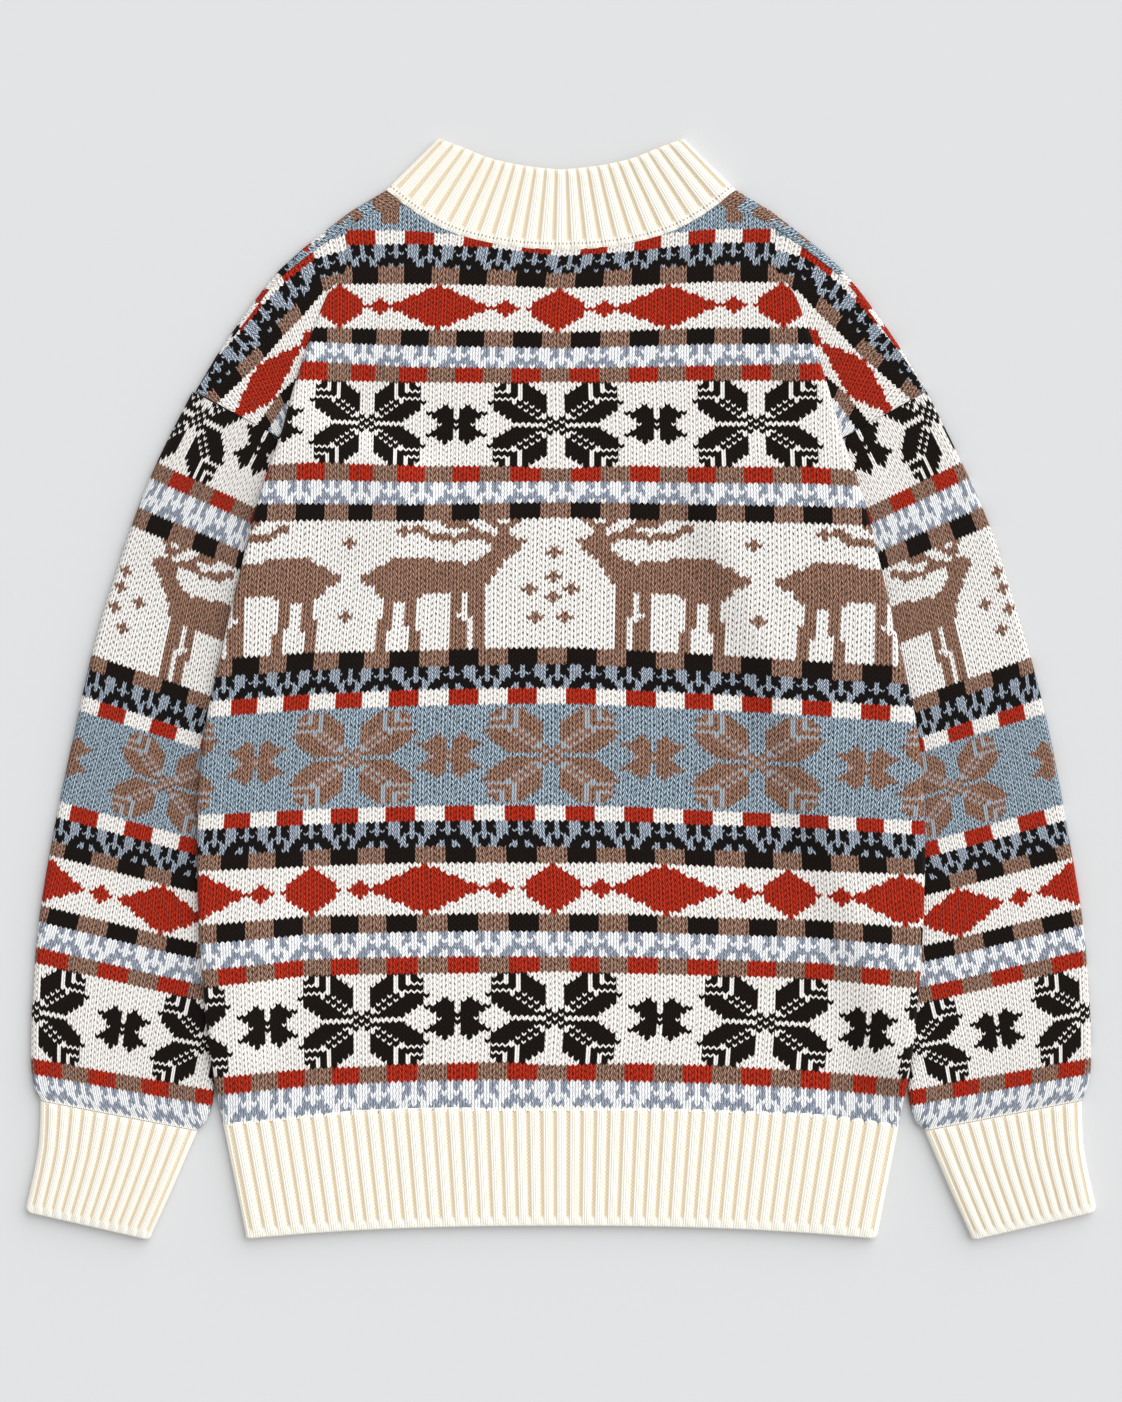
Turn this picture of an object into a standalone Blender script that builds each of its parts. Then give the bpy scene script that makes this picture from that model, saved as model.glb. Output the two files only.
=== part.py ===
"""A knitted pullover laid flat on its front, in metres, with +Z up.

The tubes of the garment are pressed flat, so every piece is two layers of cloth that lie on each
other and turn over in a soft fold at each side. The neck points to +Y, the underside is at z = 0,
and the origin is on the underside in the middle of the outline.

Pieces: back and front panel with dropped shoulders, two sleeves, and a ribbed collar, hem and pair
of cuffs. Each side seam lies in the middle of a fold. The body lies over the inner side of both
sleeves, which is why it rises there and steps down to the shoulders along a crease.
"""

import math
from collections import namedtuple

import bmesh
import bpy

# ---- Cloth ---------------------------------------------------------------------------------
WALL = 0.0030               # thickness of the knitted cloth
LAYER_GAP = 0.0006          # between the two layers of a flattened tube
STACK = 2 * WALL + LAYER_GAP
FOLD_REACH = 0.0050         # how far in from an edge its fold is round
FOLD_WALL = 0.0028          # thickness of the cloth where it turns over
SEAM_GAP = 0.0003           # between two pieces that are sewn together
NECK_GAP = 0.0005           # the same along the curved neckline
SEAM_TURN = 0.030           # half the gap of a seam in a fold, as a share of a quarter turn
SLIT_POWER = 0.3            # how late the slit inside a fold narrows

# ---- Ribbed pieces -------------------------------------------------------------------------
RIB_CREST = 0.0008          # how far a rib stands above the plain cloth
RIB_GROOVE = 0.0005         # how far the groove between two ribs sinks below it
RIB_SHAPE = ((0.0, 0.0), (0.24, 0.84), (0.5, 1.0), (0.76, 0.84))   # place on a rib, height
HEM_RIBS = 49
COLLAR_RIBS = 23
CUFF_RIBS = 12
# Places along a ribbed piece, and what is left of its thickness there: its free edge thins out.
RIB_STATIONS = ((0.0, 1.0), (0.965, 1.0), (1.0, 0.80))

# ---- Body ----------------------------------------------------------------------------------
LIFT = 0.0075               # how high the body lies where it covers a sleeve
LIFT_MARGIN = 0.012         # it keeps that height this far past the sleeve's edge
LIFT_RAMP = 0.035           # and comes down over this distance
CREASE_REACH = 0.045        # how far in from the shoulder crease the cloth stands up
CREASE_TOP = 0.2850         # the crease begins here
LIFT_END = -0.2550          # the body comes down to the floor below this
HEM_TOP_MIDDLE = -0.2916
HEM_TOP_DROOP = 0.0112
HEM_TOP_HALF = 0.2373
HEM_BOTTOM_MIDDLE = -0.3738
HEM_BOTTOM_DROOP = 0.0092
HEM_BOTTOM_HALF = 0.2216
HEM_BOTTOM_POWER = 2.4
DROOP_POWER = 3.0           # how late the knitted rows bend down towards the sides
NECK_MAIN = 0.72            # where the last columns meet the neckline, as shares of it
NECK_RAIL = 0.76
SEAM_STEP = 0.0015          # just under the armhole, where the body leaves the shoulder

# The body's side edge up to the armhole, then the crease and its line on to the neck.
EdgePoint = namedtuple("EdgePoint", "y x")
BODY_EDGE = (
    EdgePoint(-0.3025, 0.2373), EdgePoint(-0.2867, 0.2406), EdgePoint(-0.2517, 0.2460),
    EdgePoint(-0.2027, 0.2508), EdgePoint(-0.1467, 0.2540), EdgePoint(-0.0837, 0.2543),
    EdgePoint(-0.0417, 0.2510), EdgePoint(-0.0137, 0.2468), EdgePoint(0.0249, 0.2382),
    EdgePoint(0.0600, 0.2300), EdgePoint(0.0984, 0.2208), EdgePoint(0.1264, 0.2138),
    EdgePoint(0.1558, 0.2045), EdgePoint(0.1770, 0.1970), EdgePoint(0.2132, 0.1870),
    EdgePoint(0.2594, 0.1710), EdgePoint(0.2850, 0.1590), EdgePoint(0.3050, 0.1385),
    EdgePoint(0.3200, 0.1190), EdgePoint(0.3316, 0.0970),
)

# Rows of the body's grid: y at the middle and at the edge.
BodyRow = namedtuple("BodyRow", "middle_y edge_y")
ROWS_BELOW_ARMHOLE = (
    BodyRow(-0.2913, -0.3025), BodyRow(-0.2770, -0.2880), BodyRow(-0.2600, -0.2700),
    BodyRow(-0.2420, -0.2510), BodyRow(-0.2080, -0.2170), BodyRow(-0.1700, -0.1790),
    BodyRow(-0.1300, -0.1410), BodyRow(-0.0900, -0.1020), BodyRow(-0.0450, -0.0590),
    BodyRow(0.0000, -0.0160), BodyRow(0.0420, 0.0290), BodyRow(0.0830, 0.0740),
    BodyRow(0.1140, 0.1100), BodyRow(0.1380, 0.1370), BodyRow(0.1580, 0.1580),
)
ARMHOLE_ROW = BodyRow(0.1770, 0.1770)
# Above the armhole a row runs on past the crease to the shoulder's edge. seam_turn says where
# the shoulder seam lies in the edge's fold: 1 is its middle, 2 the top, more is further in.
ShoulderRow = namedtuple("ShoulderRow", "middle_y edge_y shoulder_y seam_turn")
ROWS_ABOVE_ARMHOLE = (
    ShoulderRow(0.1770, 0.1770, 0.2097, 1.00), ShoulderRow(0.1960, 0.2000, 0.2310, 1.15),
    ShoulderRow(0.2150, 0.2240, 0.2520, 1.30), ShoulderRow(0.2330, 0.2480, 0.2720, 1.45),
    ShoulderRow(0.2500, 0.2690, 0.2900, 1.60), ShoulderRow(0.2660, 0.2870, 0.3060, 1.90),
    ShoulderRow(0.2810, 0.3030, 0.3210, 2.40), ShoulderRow(0.2950, 0.3180, 0.3365, 3.00),
    ShoulderRow(0.3087, 0.3316, 0.3510, 4.20),
)
SHOULDER_EDGE = (
    EdgePoint(0.2097, 0.2565), EdgePoint(0.2384, 0.2394), EdgePoint(0.2594, 0.2250),
    EdgePoint(0.2804, 0.2095), EdgePoint(0.2950, 0.1975), EdgePoint(0.3084, 0.1828),
    EdgePoint(0.3224, 0.1655), EdgePoint(0.3364, 0.1470), EdgePoint(0.3510, 0.1225),
)

# ---- Neck ----------------------------------------------------------------------------------
# Half of the collar, from the middle of the back round to its side fold.
NeckPoint = namedtuple("NeckPoint", "share seam_x seam_y top_x top_y")
NECK = (
    NeckPoint(0.0, 0.0000, 0.3087, 0.0000, 0.3637), NeckPoint(0.2, 0.0266, 0.3099, 0.0176, 0.3652),
    NeckPoint(0.4, 0.0529, 0.3138, 0.0351, 0.3680), NeckPoint(0.6, 0.0785, 0.3212, 0.0521, 0.3723),
    NeckPoint(0.8, 0.1018, 0.3342, 0.0690, 0.3792), NeckPoint(1.0, 0.1225, 0.3510, 0.0870, 0.3860),
)
NECK_HALF_LENGTH = 0.1335   # of the seam, from the middle to the side fold
FRONT_NECK_DROP = 0.035     # the neckline is this much lower on the front

# ---- Sleeves and cuffs ---------------------------------------------------------------------
# Lines across a sleeve, each from its outer edge, tilted down towards the body.
SleeveLine = namedtuple("SleeveLine", "outer_y outer_x tilt width")
SLEEVE = (
    SleeveLine(0.2097, 0.2565, 28.8, 0.158), SleeveLine(0.1544, 0.2833, 25.5, 0.160),
    SleeveLine(0.0914, 0.3054, 22.0, 0.160), SleeveLine(0.0074, 0.3314, 17.5, 0.156),
    SleeveLine(-0.0767, 0.3510, 14.0, 0.149), SleeveLine(-0.1607, 0.3658, 12.0, 0.1385),
    SleeveLine(-0.2237, 0.3710, 10.8, 0.1305), SleeveLine(-0.2620, 0.3717, 10.0, 0.1300),
    SleeveLine(-0.2790, 0.3692, 10.3, 0.1230), SleeveLine(-0.2872, 0.3650, 10.8, 0.1120),
)
SLEEVE_STATIONS = (0.2097, 0.1850, 0.1544, 0.1240, 0.0914, 0.0500, 0.0074, -0.0350, -0.0767,
                   -0.1190, -0.1607, -0.1950, -0.2237, -0.2450, -0.2620, -0.2720, -0.2810, -0.2872)
HIDDEN_TOP_SHIFT = 0.0028   # the sleeve's hidden top edge stays this clear of the body
HIDDEN_TOP_START = 0.0590   # measured along the armhole seam from the outer edge
HIDDEN_TOP_BLEND = 0.0080
CUFF = (
    SleeveLine(-0.2875, 0.3650, 10.8, 0.1120), SleeveLine(-0.3655, 0.3723, 13.3, 0.0877),
)

# ---- Grid sizes ----------------------------------------------------------------------------
MAIN_COLUMNS = 8            # from the middle to the start of the fold or crease
FOLD_COLUMNS = 3
WING_COLUMNS = 4            # from the crease to the shoulder's fold
TURN_COLUMNS = 4
BACK_TURN_START = 5.0       # the back's shoulder fold is worked out from here
TURN_POWER = 1.8
FOLD_TURNS = (0.0, 0.5, 1.0, 1.5, 2.0)
SLEEVE_TOP_CELLS = 6
UNDER_CELLS = 4
HEM_UNDER_CELLS = 12

# ---- Finishes ------------------------------------------------------------------------------
KNIT_ROUGHNESS = 0.9
COLOURS = {
    "back_panel": (0.42, 0.33, 0.29),
    "front_panel": (0.42, 0.33, 0.29),
    "left_sleeve": (0.40, 0.34, 0.32),
    "right_sleeve": (0.40, 0.34, 0.32),
    "collar": (0.88, 0.83, 0.70),
    "hem_rib": (0.88, 0.83, 0.70),
    "left_cuff": (0.88, 0.83, 0.70),
    "right_cuff": (0.88, 0.83, 0.70),
}


# ---- Numbers and tables --------------------------------------------------------------------
def ease(share):
    """Run softly from 0 to 1 as share does, and stay there."""
    share = min(max(share, 0.0), 1.0)
    return share * share * (3.0 - 2.0 * share)


def mix(low, high, share):
    return low + (high - low) * share


def curve_value(keys, values, at):
    """Read a smooth curve through the points of a table; keys rise or fall steadily."""
    if keys[0] > keys[-1]:
        keys, values = keys[::-1], values[::-1]
    at = min(max(at, keys[0]), keys[-1])
    last = len(keys) - 1
    span = max(index for index in range(last) if keys[index] <= at)

    def slope(index):
        before, after = max(index - 1, 0), min(index + 1, last)
        return (values[after] - values[before]) / (keys[after] - keys[before])

    length = keys[span + 1] - keys[span]
    t = (at - keys[span]) / length
    start, end = values[span], values[span + 1]
    rise = (2 * t ** 3 - 3 * t ** 2 + 1) * start + (3 * t ** 2 - 2 * t ** 3) * end
    bend = (t ** 3 - 2 * t ** 2 + t) * slope(span) + (t ** 3 - t ** 2) * slope(span + 1)
    return rise + bend * length


def column(table, name):
    return [getattr(line, name) for line in table]


def read(table, key, name, at):
    """Read one named column of a table at a value of its key column."""
    return curve_value(column(table, key), column(table, name), at)


# ---- The fold at the edge of a flattened tube ----------------------------------------------
def fold_point(turn):
    """Say where the cloth is in a fold: distance in from the edge and height, outside and inside.

    turn is 0 where the underside starts to rise, 1 at the edge and 2 where the top is flat.
    Below 0 and above 2 it runs on inwards along the underside or the top.
    """
    flat = max(-turn, turn - 2.0, 0.0) * FOLD_REACH
    angle = min(max(turn, 0.0), 2.0) * math.pi / 2
    side = -math.cos(angle)
    outside = (FOLD_REACH * (1 - math.sin(angle)) + flat, STACK / 2 * (1 + side))
    slit = math.copysign(abs(side) ** SLIT_POWER, side) * LAYER_GAP / 2
    inside_reach = FOLD_WALL + (FOLD_REACH - FOLD_WALL) * (1 - math.sin(angle))
    return outside, (inside_reach + flat, STACK / 2 + slit)


# ---- Walls ---------------------------------------------------------------------------------
def add_material(name):
    material = bpy.data.materials.new(name)
    material.use_nodes = True
    shader = material.node_tree.nodes["Principled BSDF"]
    shader.inputs["Base Color"].default_value = (*COLOURS[name], 1.0)
    shader.inputs["Roughness"].default_value = KNIT_ROUGHNESS
    shader.inputs["Metallic"].default_value = 0.0
    return material


def add_wall(name, outside, inside, cells):
    """Make a closed wall from matching points of its two faces.

    cells are loops of four keys, turning left as seen from outside. The rim is closed along
    every side that only one cell has.
    """
    mesh = bmesh.new()
    outer = {key: mesh.verts.new(point) for key, point in outside.items()}
    inner = {key: mesh.verts.new(point) for key, point in inside.items()}
    sides = set()
    for a, b, c, d in cells:
        for first, second, third in ((a, b, c), (a, c, d)):
            mesh.faces.new((outer[first], outer[second], outer[third]))
            mesh.faces.new((inner[third], inner[second], inner[first]))
        sides.update(((a, b), (b, c), (c, d), (d, a)))
    for start, end in sorted(sides):
        if (end, start) in sides:
            continue
        rim = [outer[end], outer[start], inner[start], inner[end]]
        if start > end:
            rim = rim[1:] + rim[:1]
        mesh.faces.new(rim[:3])
        mesh.faces.new((rim[0], rim[2], rim[3]))
    data = bpy.data.meshes.new(name)
    mesh.to_mesh(data)
    mesh.free()
    data.materials.append(add_material(name))
    piece = bpy.data.objects.new(name, data)
    bpy.context.scene.collection.objects.link(piece)
    return piece


# ---- Sleeves, and where they lie under the body --------------------------------------------
def across(table, outer_y, distance):
    """Give the place at a distance in from the outer edge, along one line of a sleeve."""
    tilt = math.radians(read(table, "outer_y", "tilt", outer_y))
    x = read(table, "outer_y", "outer_x", outer_y) - distance * math.cos(tilt)
    return x, outer_y - distance * math.sin(tilt)


def sleeve_width(table, outer_y):
    return read(table, "outer_y", "width", outer_y)


def sleeve_outline():
    """List the corners of the part of a sleeve that lifts the body, on the +X side."""
    outer, inner = [], []
    for outer_y in SLEEVE_STATIONS:
        edge = across(SLEEVE, outer_y, sleeve_width(SLEEVE, outer_y))
        if edge[1] < LIFT_END:
            break
        outer.append(across(SLEEVE, outer_y, 0.0))
        inner.append(edge)
    return outer + inner[::-1]


def distance_outside(corners, x, y):
    """Give the distance from a point to a closed outline, or 0 inside it."""
    nearest, inside = math.inf, False
    for (ax, ay), (bx, by) in zip(corners, corners[1:] + corners[:1]):
        if (ay > y) != (by > y) and x < ax + (y - ay) * (bx - ax) / (by - ay):
            inside = not inside
        length = (bx - ax) ** 2 + (by - ay) ** 2
        along = ((x - ax) * (bx - ax) + (y - ay) * (by - ay)) / length
        along = min(max(along, 0.0), 1.0)
        nearest = min(nearest, math.hypot(x - mix(ax, bx, along), y - mix(ay, by, along)))
    return 0.0 if inside else nearest


LIFTING_OUTLINE = sleeve_outline()


def body_lift(x, y):
    """Give the height of the body's underside, at x and y on the +X side."""
    away = distance_outside(LIFTING_OUTLINE, x, y)
    over_sleeve = 1 - ease((away - LIFT_MARGIN) / LIFT_RAMP)
    start = ARMHOLE_ROW.edge_y
    growth = ease((CREASE_TOP - y) / (CREASE_TOP - start)) if y > start else 1.0
    inwards = read(BODY_EDGE, "y", "x", y) - x
    at_crease = growth * (1 - ease(inwards / CREASE_REACH)) if y > start else 0.0
    return LIFT * (1 - (1 - over_sleeve) * (1 - at_crease))


# ---- Back and front panel ------------------------------------------------------------------
def neck_seam(share, drop):
    """Give a place on the neckline, from -1 at one side fold to 1 at the other."""
    half = abs(share)
    x = math.copysign(read(NECK, "share", "seam_x", half), share)
    return x, read(NECK, "share", "seam_y", half) - drop * math.cos(share * math.pi / 2) ** 2


def row_middle_part(row, share, neckness, drop):
    """Give a place on the main part of a row; share is 0 in the middle and 1 at its end."""
    edge_x = read(BODY_EDGE, "y", "x", row.edge_y)
    reach = edge_x - FOLD_REACH
    neck_x, neck_y = neck_seam(share * NECK_RAIL, 0.0)
    rail_x, rail_y = neck_seam(NECK_RAIL, 0.0)
    low_y = neck_seam(0.0, 0.0)[1]
    x_share = mix(share, neck_x / rail_x, neckness)
    droop = (share * reach / edge_x) ** DROOP_POWER
    y_share = mix(droop, (neck_y - low_y) / (rail_y - low_y), neckness)
    lowered = drop * neckness * math.cos(share * math.pi / 2) ** 2
    return x_share * reach, mix(row.middle_y, row.edge_y, y_share) - lowered


def layer_heights(is_back):
    """Give the heights of a panel's outer and inner face where it lies flat."""
    return (STACK, STACK - WALL) if is_back else (0.0, WALL)


def side_points(row, is_back, drop, has_shoulder, neckness):
    """Give the outer and inner points of one half of a row, from the middle to its edge."""
    outer_z, inner_z = layer_heights(is_back)
    outside, inside = [], []

    def lay(place, lift):
        outside.append((*place, outer_z + lift))
        inside.append((*place, inner_z + lift))

    for step in range(MAIN_COLUMNS + 1):
        place = row_middle_part(row, step / MAIN_COLUMNS, neckness, drop)
        lay(place, body_lift(*place))
    end_x, end_y = row_middle_part(row, 1.0, neckness, drop)
    end_lift = body_lift(end_x, end_y)

    def place_past_end(distance):
        return row_middle_part(row, 1 + distance / end_x, neckness, drop)

    for step in range(1, FOLD_COLUMNS + 1):
        part = step / FOLD_COLUMNS
        if has_shoulder:
            lay(place_past_end(FOLD_REACH * part), end_lift * (1 - ease(part)))
            continue
        turn = mix(2.0, 1.0 + SEAM_TURN, part) if is_back else mix(0.0, 1.0 - SEAM_TURN, part)
        (reach, height), (inner_reach, inner_height) = fold_point(turn)
        outside.append((*place_past_end(FOLD_REACH - reach), height + end_lift))
        inside.append((*place_past_end(FOLD_REACH - inner_reach), inner_height + end_lift))
    if has_shoulder:
        add_shoulder_points(row, is_back, outside, inside)
    return outside, inside


def add_shoulder_points(row, is_back, outside, inside):
    """Carry one half of a row on from the crease, round the fold at the shoulder's edge."""
    outer_z, inner_z = layer_heights(is_back)
    start_x, start_y = outside[-1][:2]
    edge_x, edge_y = read(SHOULDER_EDGE, "y", "x", row.shoulder_y), row.shoulder_y
    length = math.hypot(edge_x - start_x, edge_y - start_y)
    along = ((edge_x - start_x) / length, (edge_y - start_y) / length)

    def place(inwards):
        return edge_x - along[0] * inwards, edge_y - along[1] * inwards

    first_turn = BACK_TURN_START if is_back else 0.0
    last_turn = row.seam_turn + (SEAM_TURN if is_back else -SEAM_TURN)
    fold_start = fold_point(first_turn)[0][0]
    for step in range(1, WING_COLUMNS + 1):
        inwards = mix(length, fold_start, step / WING_COLUMNS)
        outside.append((*place(inwards), outer_z))
        inside.append((*place(inwards), inner_z))
    for step in range(1, TURN_COLUMNS + 1):
        left = (1 - step / TURN_COLUMNS) ** TURN_POWER if is_back else 1 - step / TURN_COLUMNS
        (reach, height), (inner_reach, inner_height) = fold_point(mix(last_turn, first_turn, left))
        outside.append((*place(reach), height))
        inside.append((*place(inner_reach), inner_height))


def neck_points(is_back, seam_turn):
    """Give the outer and inner points of one half of the row that is sewn to the collar."""
    outer_z, inner_z = layer_heights(is_back)
    outside, inside = [], []

    def place(share, height):
        drop = FRONT_NECK_DROP if height < STACK / 2 else 0.0
        x, y = neck_seam(share, drop)
        return x, y - NECK_GAP, height

    first_turn = BACK_TURN_START if is_back else 0.0
    last_turn = seam_turn + (SEAM_TURN if is_back else -SEAM_TURN)
    wing_end = 1 - fold_point(first_turn)[0][0] / NECK_HALF_LENGTH
    shares = [mix(0.0, NECK_MAIN, step / MAIN_COLUMNS) for step in range(MAIN_COLUMNS + 1)]
    shares += [mix(NECK_MAIN, NECK_RAIL, (step + 1) / FOLD_COLUMNS) for step in range(FOLD_COLUMNS)]
    shares += [mix(NECK_RAIL, wing_end, (step + 1) / WING_COLUMNS) for step in range(WING_COLUMNS)]
    for share in shares:
        outside.append(place(share, outer_z))
        inside.append(place(share, inner_z))
    for step in range(1, TURN_COLUMNS + 1):
        left = (1 - step / TURN_COLUMNS) ** TURN_POWER if is_back else 1 - step / TURN_COLUMNS
        (reach, height), (inner_reach, inner_height) = fold_point(mix(last_turn, first_turn, left))
        outside.append(place(1 - reach / NECK_HALF_LENGTH, height))
        inside.append(place(1 - inner_reach / NECK_HALF_LENGTH, inner_height))
    return outside, inside


def panel_rows(is_back):
    """List both halves of every row of a panel, from the hem to the neck."""
    drop = 0.0 if is_back else FRONT_NECK_DROP
    rows = [side_points(row, is_back, drop, False, 0.0) for row in ROWS_BELOW_ARMHOLE]
    under = BodyRow(ARMHOLE_ROW.middle_y - SEAM_STEP, ARMHOLE_ROW.edge_y - SEAM_STEP)
    rows.append(side_points(under, is_back, drop, False, 0.0))
    last = len(ROWS_ABOVE_ARMHOLE) - 1
    for index, row in enumerate(ROWS_ABOVE_ARMHOLE[:-1]):
        rows.append(side_points(row, is_back, drop, True, ease(index / last)))
    rows.append(neck_points(is_back, ROWS_ABOVE_ARMHOLE[-1].seam_turn))
    return rows


def add_panel(name, is_back):
    """Make the back or front panel, with both dropped shoulders, as one wall."""
    outside, inside = {}, {}
    rows = panel_rows(is_back)
    for row, (outer_half, inner_half) in enumerate(rows):
        for step, (outer_point, inner_point) in enumerate(zip(outer_half, inner_half)):
            for side in (1, -1):
                outside[row, side * step] = (side * outer_point[0], *outer_point[1:])
                inside[row, side * step] = (side * inner_point[0], *inner_point[1:])
    cells = []
    widest = max(step for _, step in outside)
    for row in range(len(rows) - 1):
        for step in range(-widest, widest):
            corners = [(row, step), (row, step + 1), (row + 1, step + 1), (row + 1, step)]
            if all(corner in outside for corner in corners):
                start = 0 if step >= 0 else 1
                corners = corners[start:] + corners[:start]
                cells.append(corners if is_back else [corners[0]] + corners[:0:-1])
    return add_wall(name, outside, inside, cells)


# ---- Flattened tubes -----------------------------------------------------------------------
def tube_ring(width, ribs, top_cells, under_cells, thinning):
    """List the points round a flattened tube: place across it and height, outside and inside."""
    ring = []

    def add(outer_place, outer_height, inner_place, inner_height):
        outer_height = STACK / 2 + (outer_height - STACK / 2) * thinning
        ring.append(((outer_place, outer_height), (inner_place, inner_height)))

    for turn in FOLD_TURNS:
        (reach, height), (inner_reach, inner_height) = fold_point(turn)
        add(reach, height, inner_reach, inner_height)
    flat = width - 2 * FOLD_REACH
    if ribs:
        marks = [(rib + place, height) for rib in range(ribs) for place, height in RIB_SHAPE]
        marks = [(mark / ribs, height) for mark, height in marks[1:]]
    else:
        marks = [(step / top_cells, None) for step in range(1, top_cells)]
    for share, rib in marks:
        rise = 0.0 if rib is None else mix(-RIB_GROOVE, RIB_CREST, rib)
        place = FOLD_REACH + flat * share
        add(place, STACK + rise, place, STACK - WALL)
    for turn in reversed(FOLD_TURNS):
        (reach, height), (inner_reach, inner_height) = fold_point(turn)
        add(width - reach, height, width - inner_reach, inner_height)
    for step in range(1, under_cells):
        place = width - FOLD_REACH - flat * step / under_cells
        add(place, 0.0, place, WALL)
    return ring


def add_tube(name, rings, mirrored):
    """Join rings of matching points, each (outside, inside), into one open-ended wall."""
    outside, inside = {}, {}
    for station, ring in enumerate(rings):
        for step, (outer_point, inner_point) in enumerate(ring):
            outside[station, step] = outer_point
            inside[station, step] = inner_point
    count = len(rings[0])
    cells = []
    for station in range(len(rings) - 1):
        for step in range(count):
            after = (step + 1) % count
            cell = [(station, step), (station, after), (station + 1, after), (station + 1, step)]
            cells.append([cell[0]] + cell[:0:-1] if mirrored else cell)
    return add_wall(name, outside, inside, cells)


def lay_ring(ring, place, side):
    """Put the points of a ring at their places in the plan."""
    placed = []
    for outer_point, inner_point in ring:
        pair = []
        for distance, height in (outer_point, inner_point):
            x, y = place(distance, height)
            pair.append((side * x, y, height))
        placed.append(tuple(pair))
    return placed


def add_sleeve(name, side):
    """Make a sleeve from the armhole seam down to its cuff."""
    rings = []
    for station, outer_y in enumerate(SLEEVE_STATIONS):
        width = sleeve_width(SLEEVE, outer_y)

        def place(distance, height, outer_y=outer_y, station=station):
            x, y = across(SLEEVE, outer_y, distance)
            if station == 0:
                hidden = ease((distance - HIDDEN_TOP_START) / HIDDEN_TOP_BLEND)
                y -= SEAM_GAP + HIDDEN_TOP_SHIFT * hidden
            return x, y

        ring = tube_ring(width, 0, SLEEVE_TOP_CELLS, UNDER_CELLS, 1.0)
        rings.append(lay_ring(ring, place, side))
    return add_tube(name, rings, side < 0)


def add_cuff(name, side):
    """Make a ribbed cuff from the end of its sleeve to its free edge."""
    rings = []
    for share, thinning in RIB_STATIONS:
        outer_y = mix(CUFF[0].outer_y, CUFF[1].outer_y, share)
        width = sleeve_width(CUFF, outer_y)

        def place(distance, height, outer_y=outer_y):
            x, y = across(CUFF, outer_y, distance)
            return x, y

        ring = tube_ring(width, CUFF_RIBS, 0, UNDER_CELLS, thinning)
        rings.append(lay_ring(ring, place, side))
    return add_tube(name, rings, side < 0)


def hem_place(share, along):
    """Give a place on the hem: share runs from -1 to 1 across it, along from its seam down."""
    droop = abs(share) ** DROOP_POWER
    top_y = HEM_TOP_MIDDLE - HEM_TOP_DROOP * droop
    bottom_y = HEM_BOTTOM_MIDDLE - HEM_BOTTOM_DROOP * abs(share) ** HEM_BOTTOM_POWER
    return share * mix(HEM_TOP_HALF, HEM_BOTTOM_HALF, along), mix(top_y, bottom_y, along)


def add_hem():
    """Make the ribbed hem."""
    rings = []
    for along, thinning in RIB_STATIONS:
        half = mix(HEM_TOP_HALF, HEM_BOTTOM_HALF, along)

        def place(distance, height, along=along, half=half):
            return hem_place(1 - distance / half, along)

        ring = tube_ring(2 * half, HEM_RIBS, 0, HEM_UNDER_CELLS, thinning)
        rings.append(lay_ring(ring, place, 1))
    return add_tube("hem_rib", rings, False)


def collar_place(share, along, height):
    """Give a place on the collar; its under layer belongs to the lower front neckline."""
    drop = FRONT_NECK_DROP if height < STACK / 2 else 0.0
    seam_x, seam_y = neck_seam(share, drop)
    half = abs(share)
    top_x = math.copysign(read(NECK, "share", "top_x", half), share)
    top_y = read(NECK, "share", "top_y", half) - drop * math.cos(share * math.pi / 2) ** 2
    return mix(seam_x, top_x, along), mix(seam_y, top_y, along)


def add_collar():
    """Make the ribbed collar, which stands up from the neckline and lies flat with it."""
    rings = []
    for along, thinning in RIB_STATIONS:
        def place(distance, height, along=along):
            return collar_place(1 - distance / NECK_HALF_LENGTH, along, height)

        ring = tube_ring(2 * NECK_HALF_LENGTH, COLLAR_RIBS, 0, HEM_UNDER_CELLS, thinning)
        rings.append(lay_ring(ring, place, 1))
    return add_tube("collar", rings, True)


def clear_scene():
    for item in list(bpy.data.objects):
        bpy.data.objects.remove(item, do_unlink=True)


def main():
    clear_scene()
    add_panel("back_panel", True)
    add_panel("front_panel", False)
    add_sleeve("left_sleeve", -1)
    add_sleeve("right_sleeve", 1)
    add_collar()
    add_hem()
    add_cuff("left_cuff", -1)
    add_cuff("right_cuff", 1)


main()
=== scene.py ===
"""Knit the cloth of a flat-laid patterned pullover over its frame, and set the stage for it.

Every piece of patterned cloth starts as a grid whose squares are half stitches. A chart says which
yarn each stitch is knitted in, the grid is cut to the outline of its piece, and then it is laid,
lifted and turned over at its folds. x counts stitches across and y counts rows upwards. The ribbed
bands are tubes pressed flat, with their ribs raised on top.
"""

import math
from collections import namedtuple

import bmesh
import bpy
import numpy as np
from mathutils import Matrix, Vector


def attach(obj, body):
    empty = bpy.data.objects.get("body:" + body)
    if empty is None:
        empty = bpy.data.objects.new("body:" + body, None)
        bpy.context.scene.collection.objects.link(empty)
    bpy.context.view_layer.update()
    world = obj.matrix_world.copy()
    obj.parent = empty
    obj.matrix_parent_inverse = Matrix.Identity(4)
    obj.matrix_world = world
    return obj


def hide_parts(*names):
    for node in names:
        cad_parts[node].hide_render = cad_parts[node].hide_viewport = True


bl_info = {
    "name": "Patterned Pullover",
    "version": (1, 0, 0),
    "blender": (4, 5, 0),
    "location": "View3D > Sidebar > Pullover",
    "description": "Knits the cloth of a flat-laid patterned pullover and sets its stage",
    "category": "Object",
}

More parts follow.
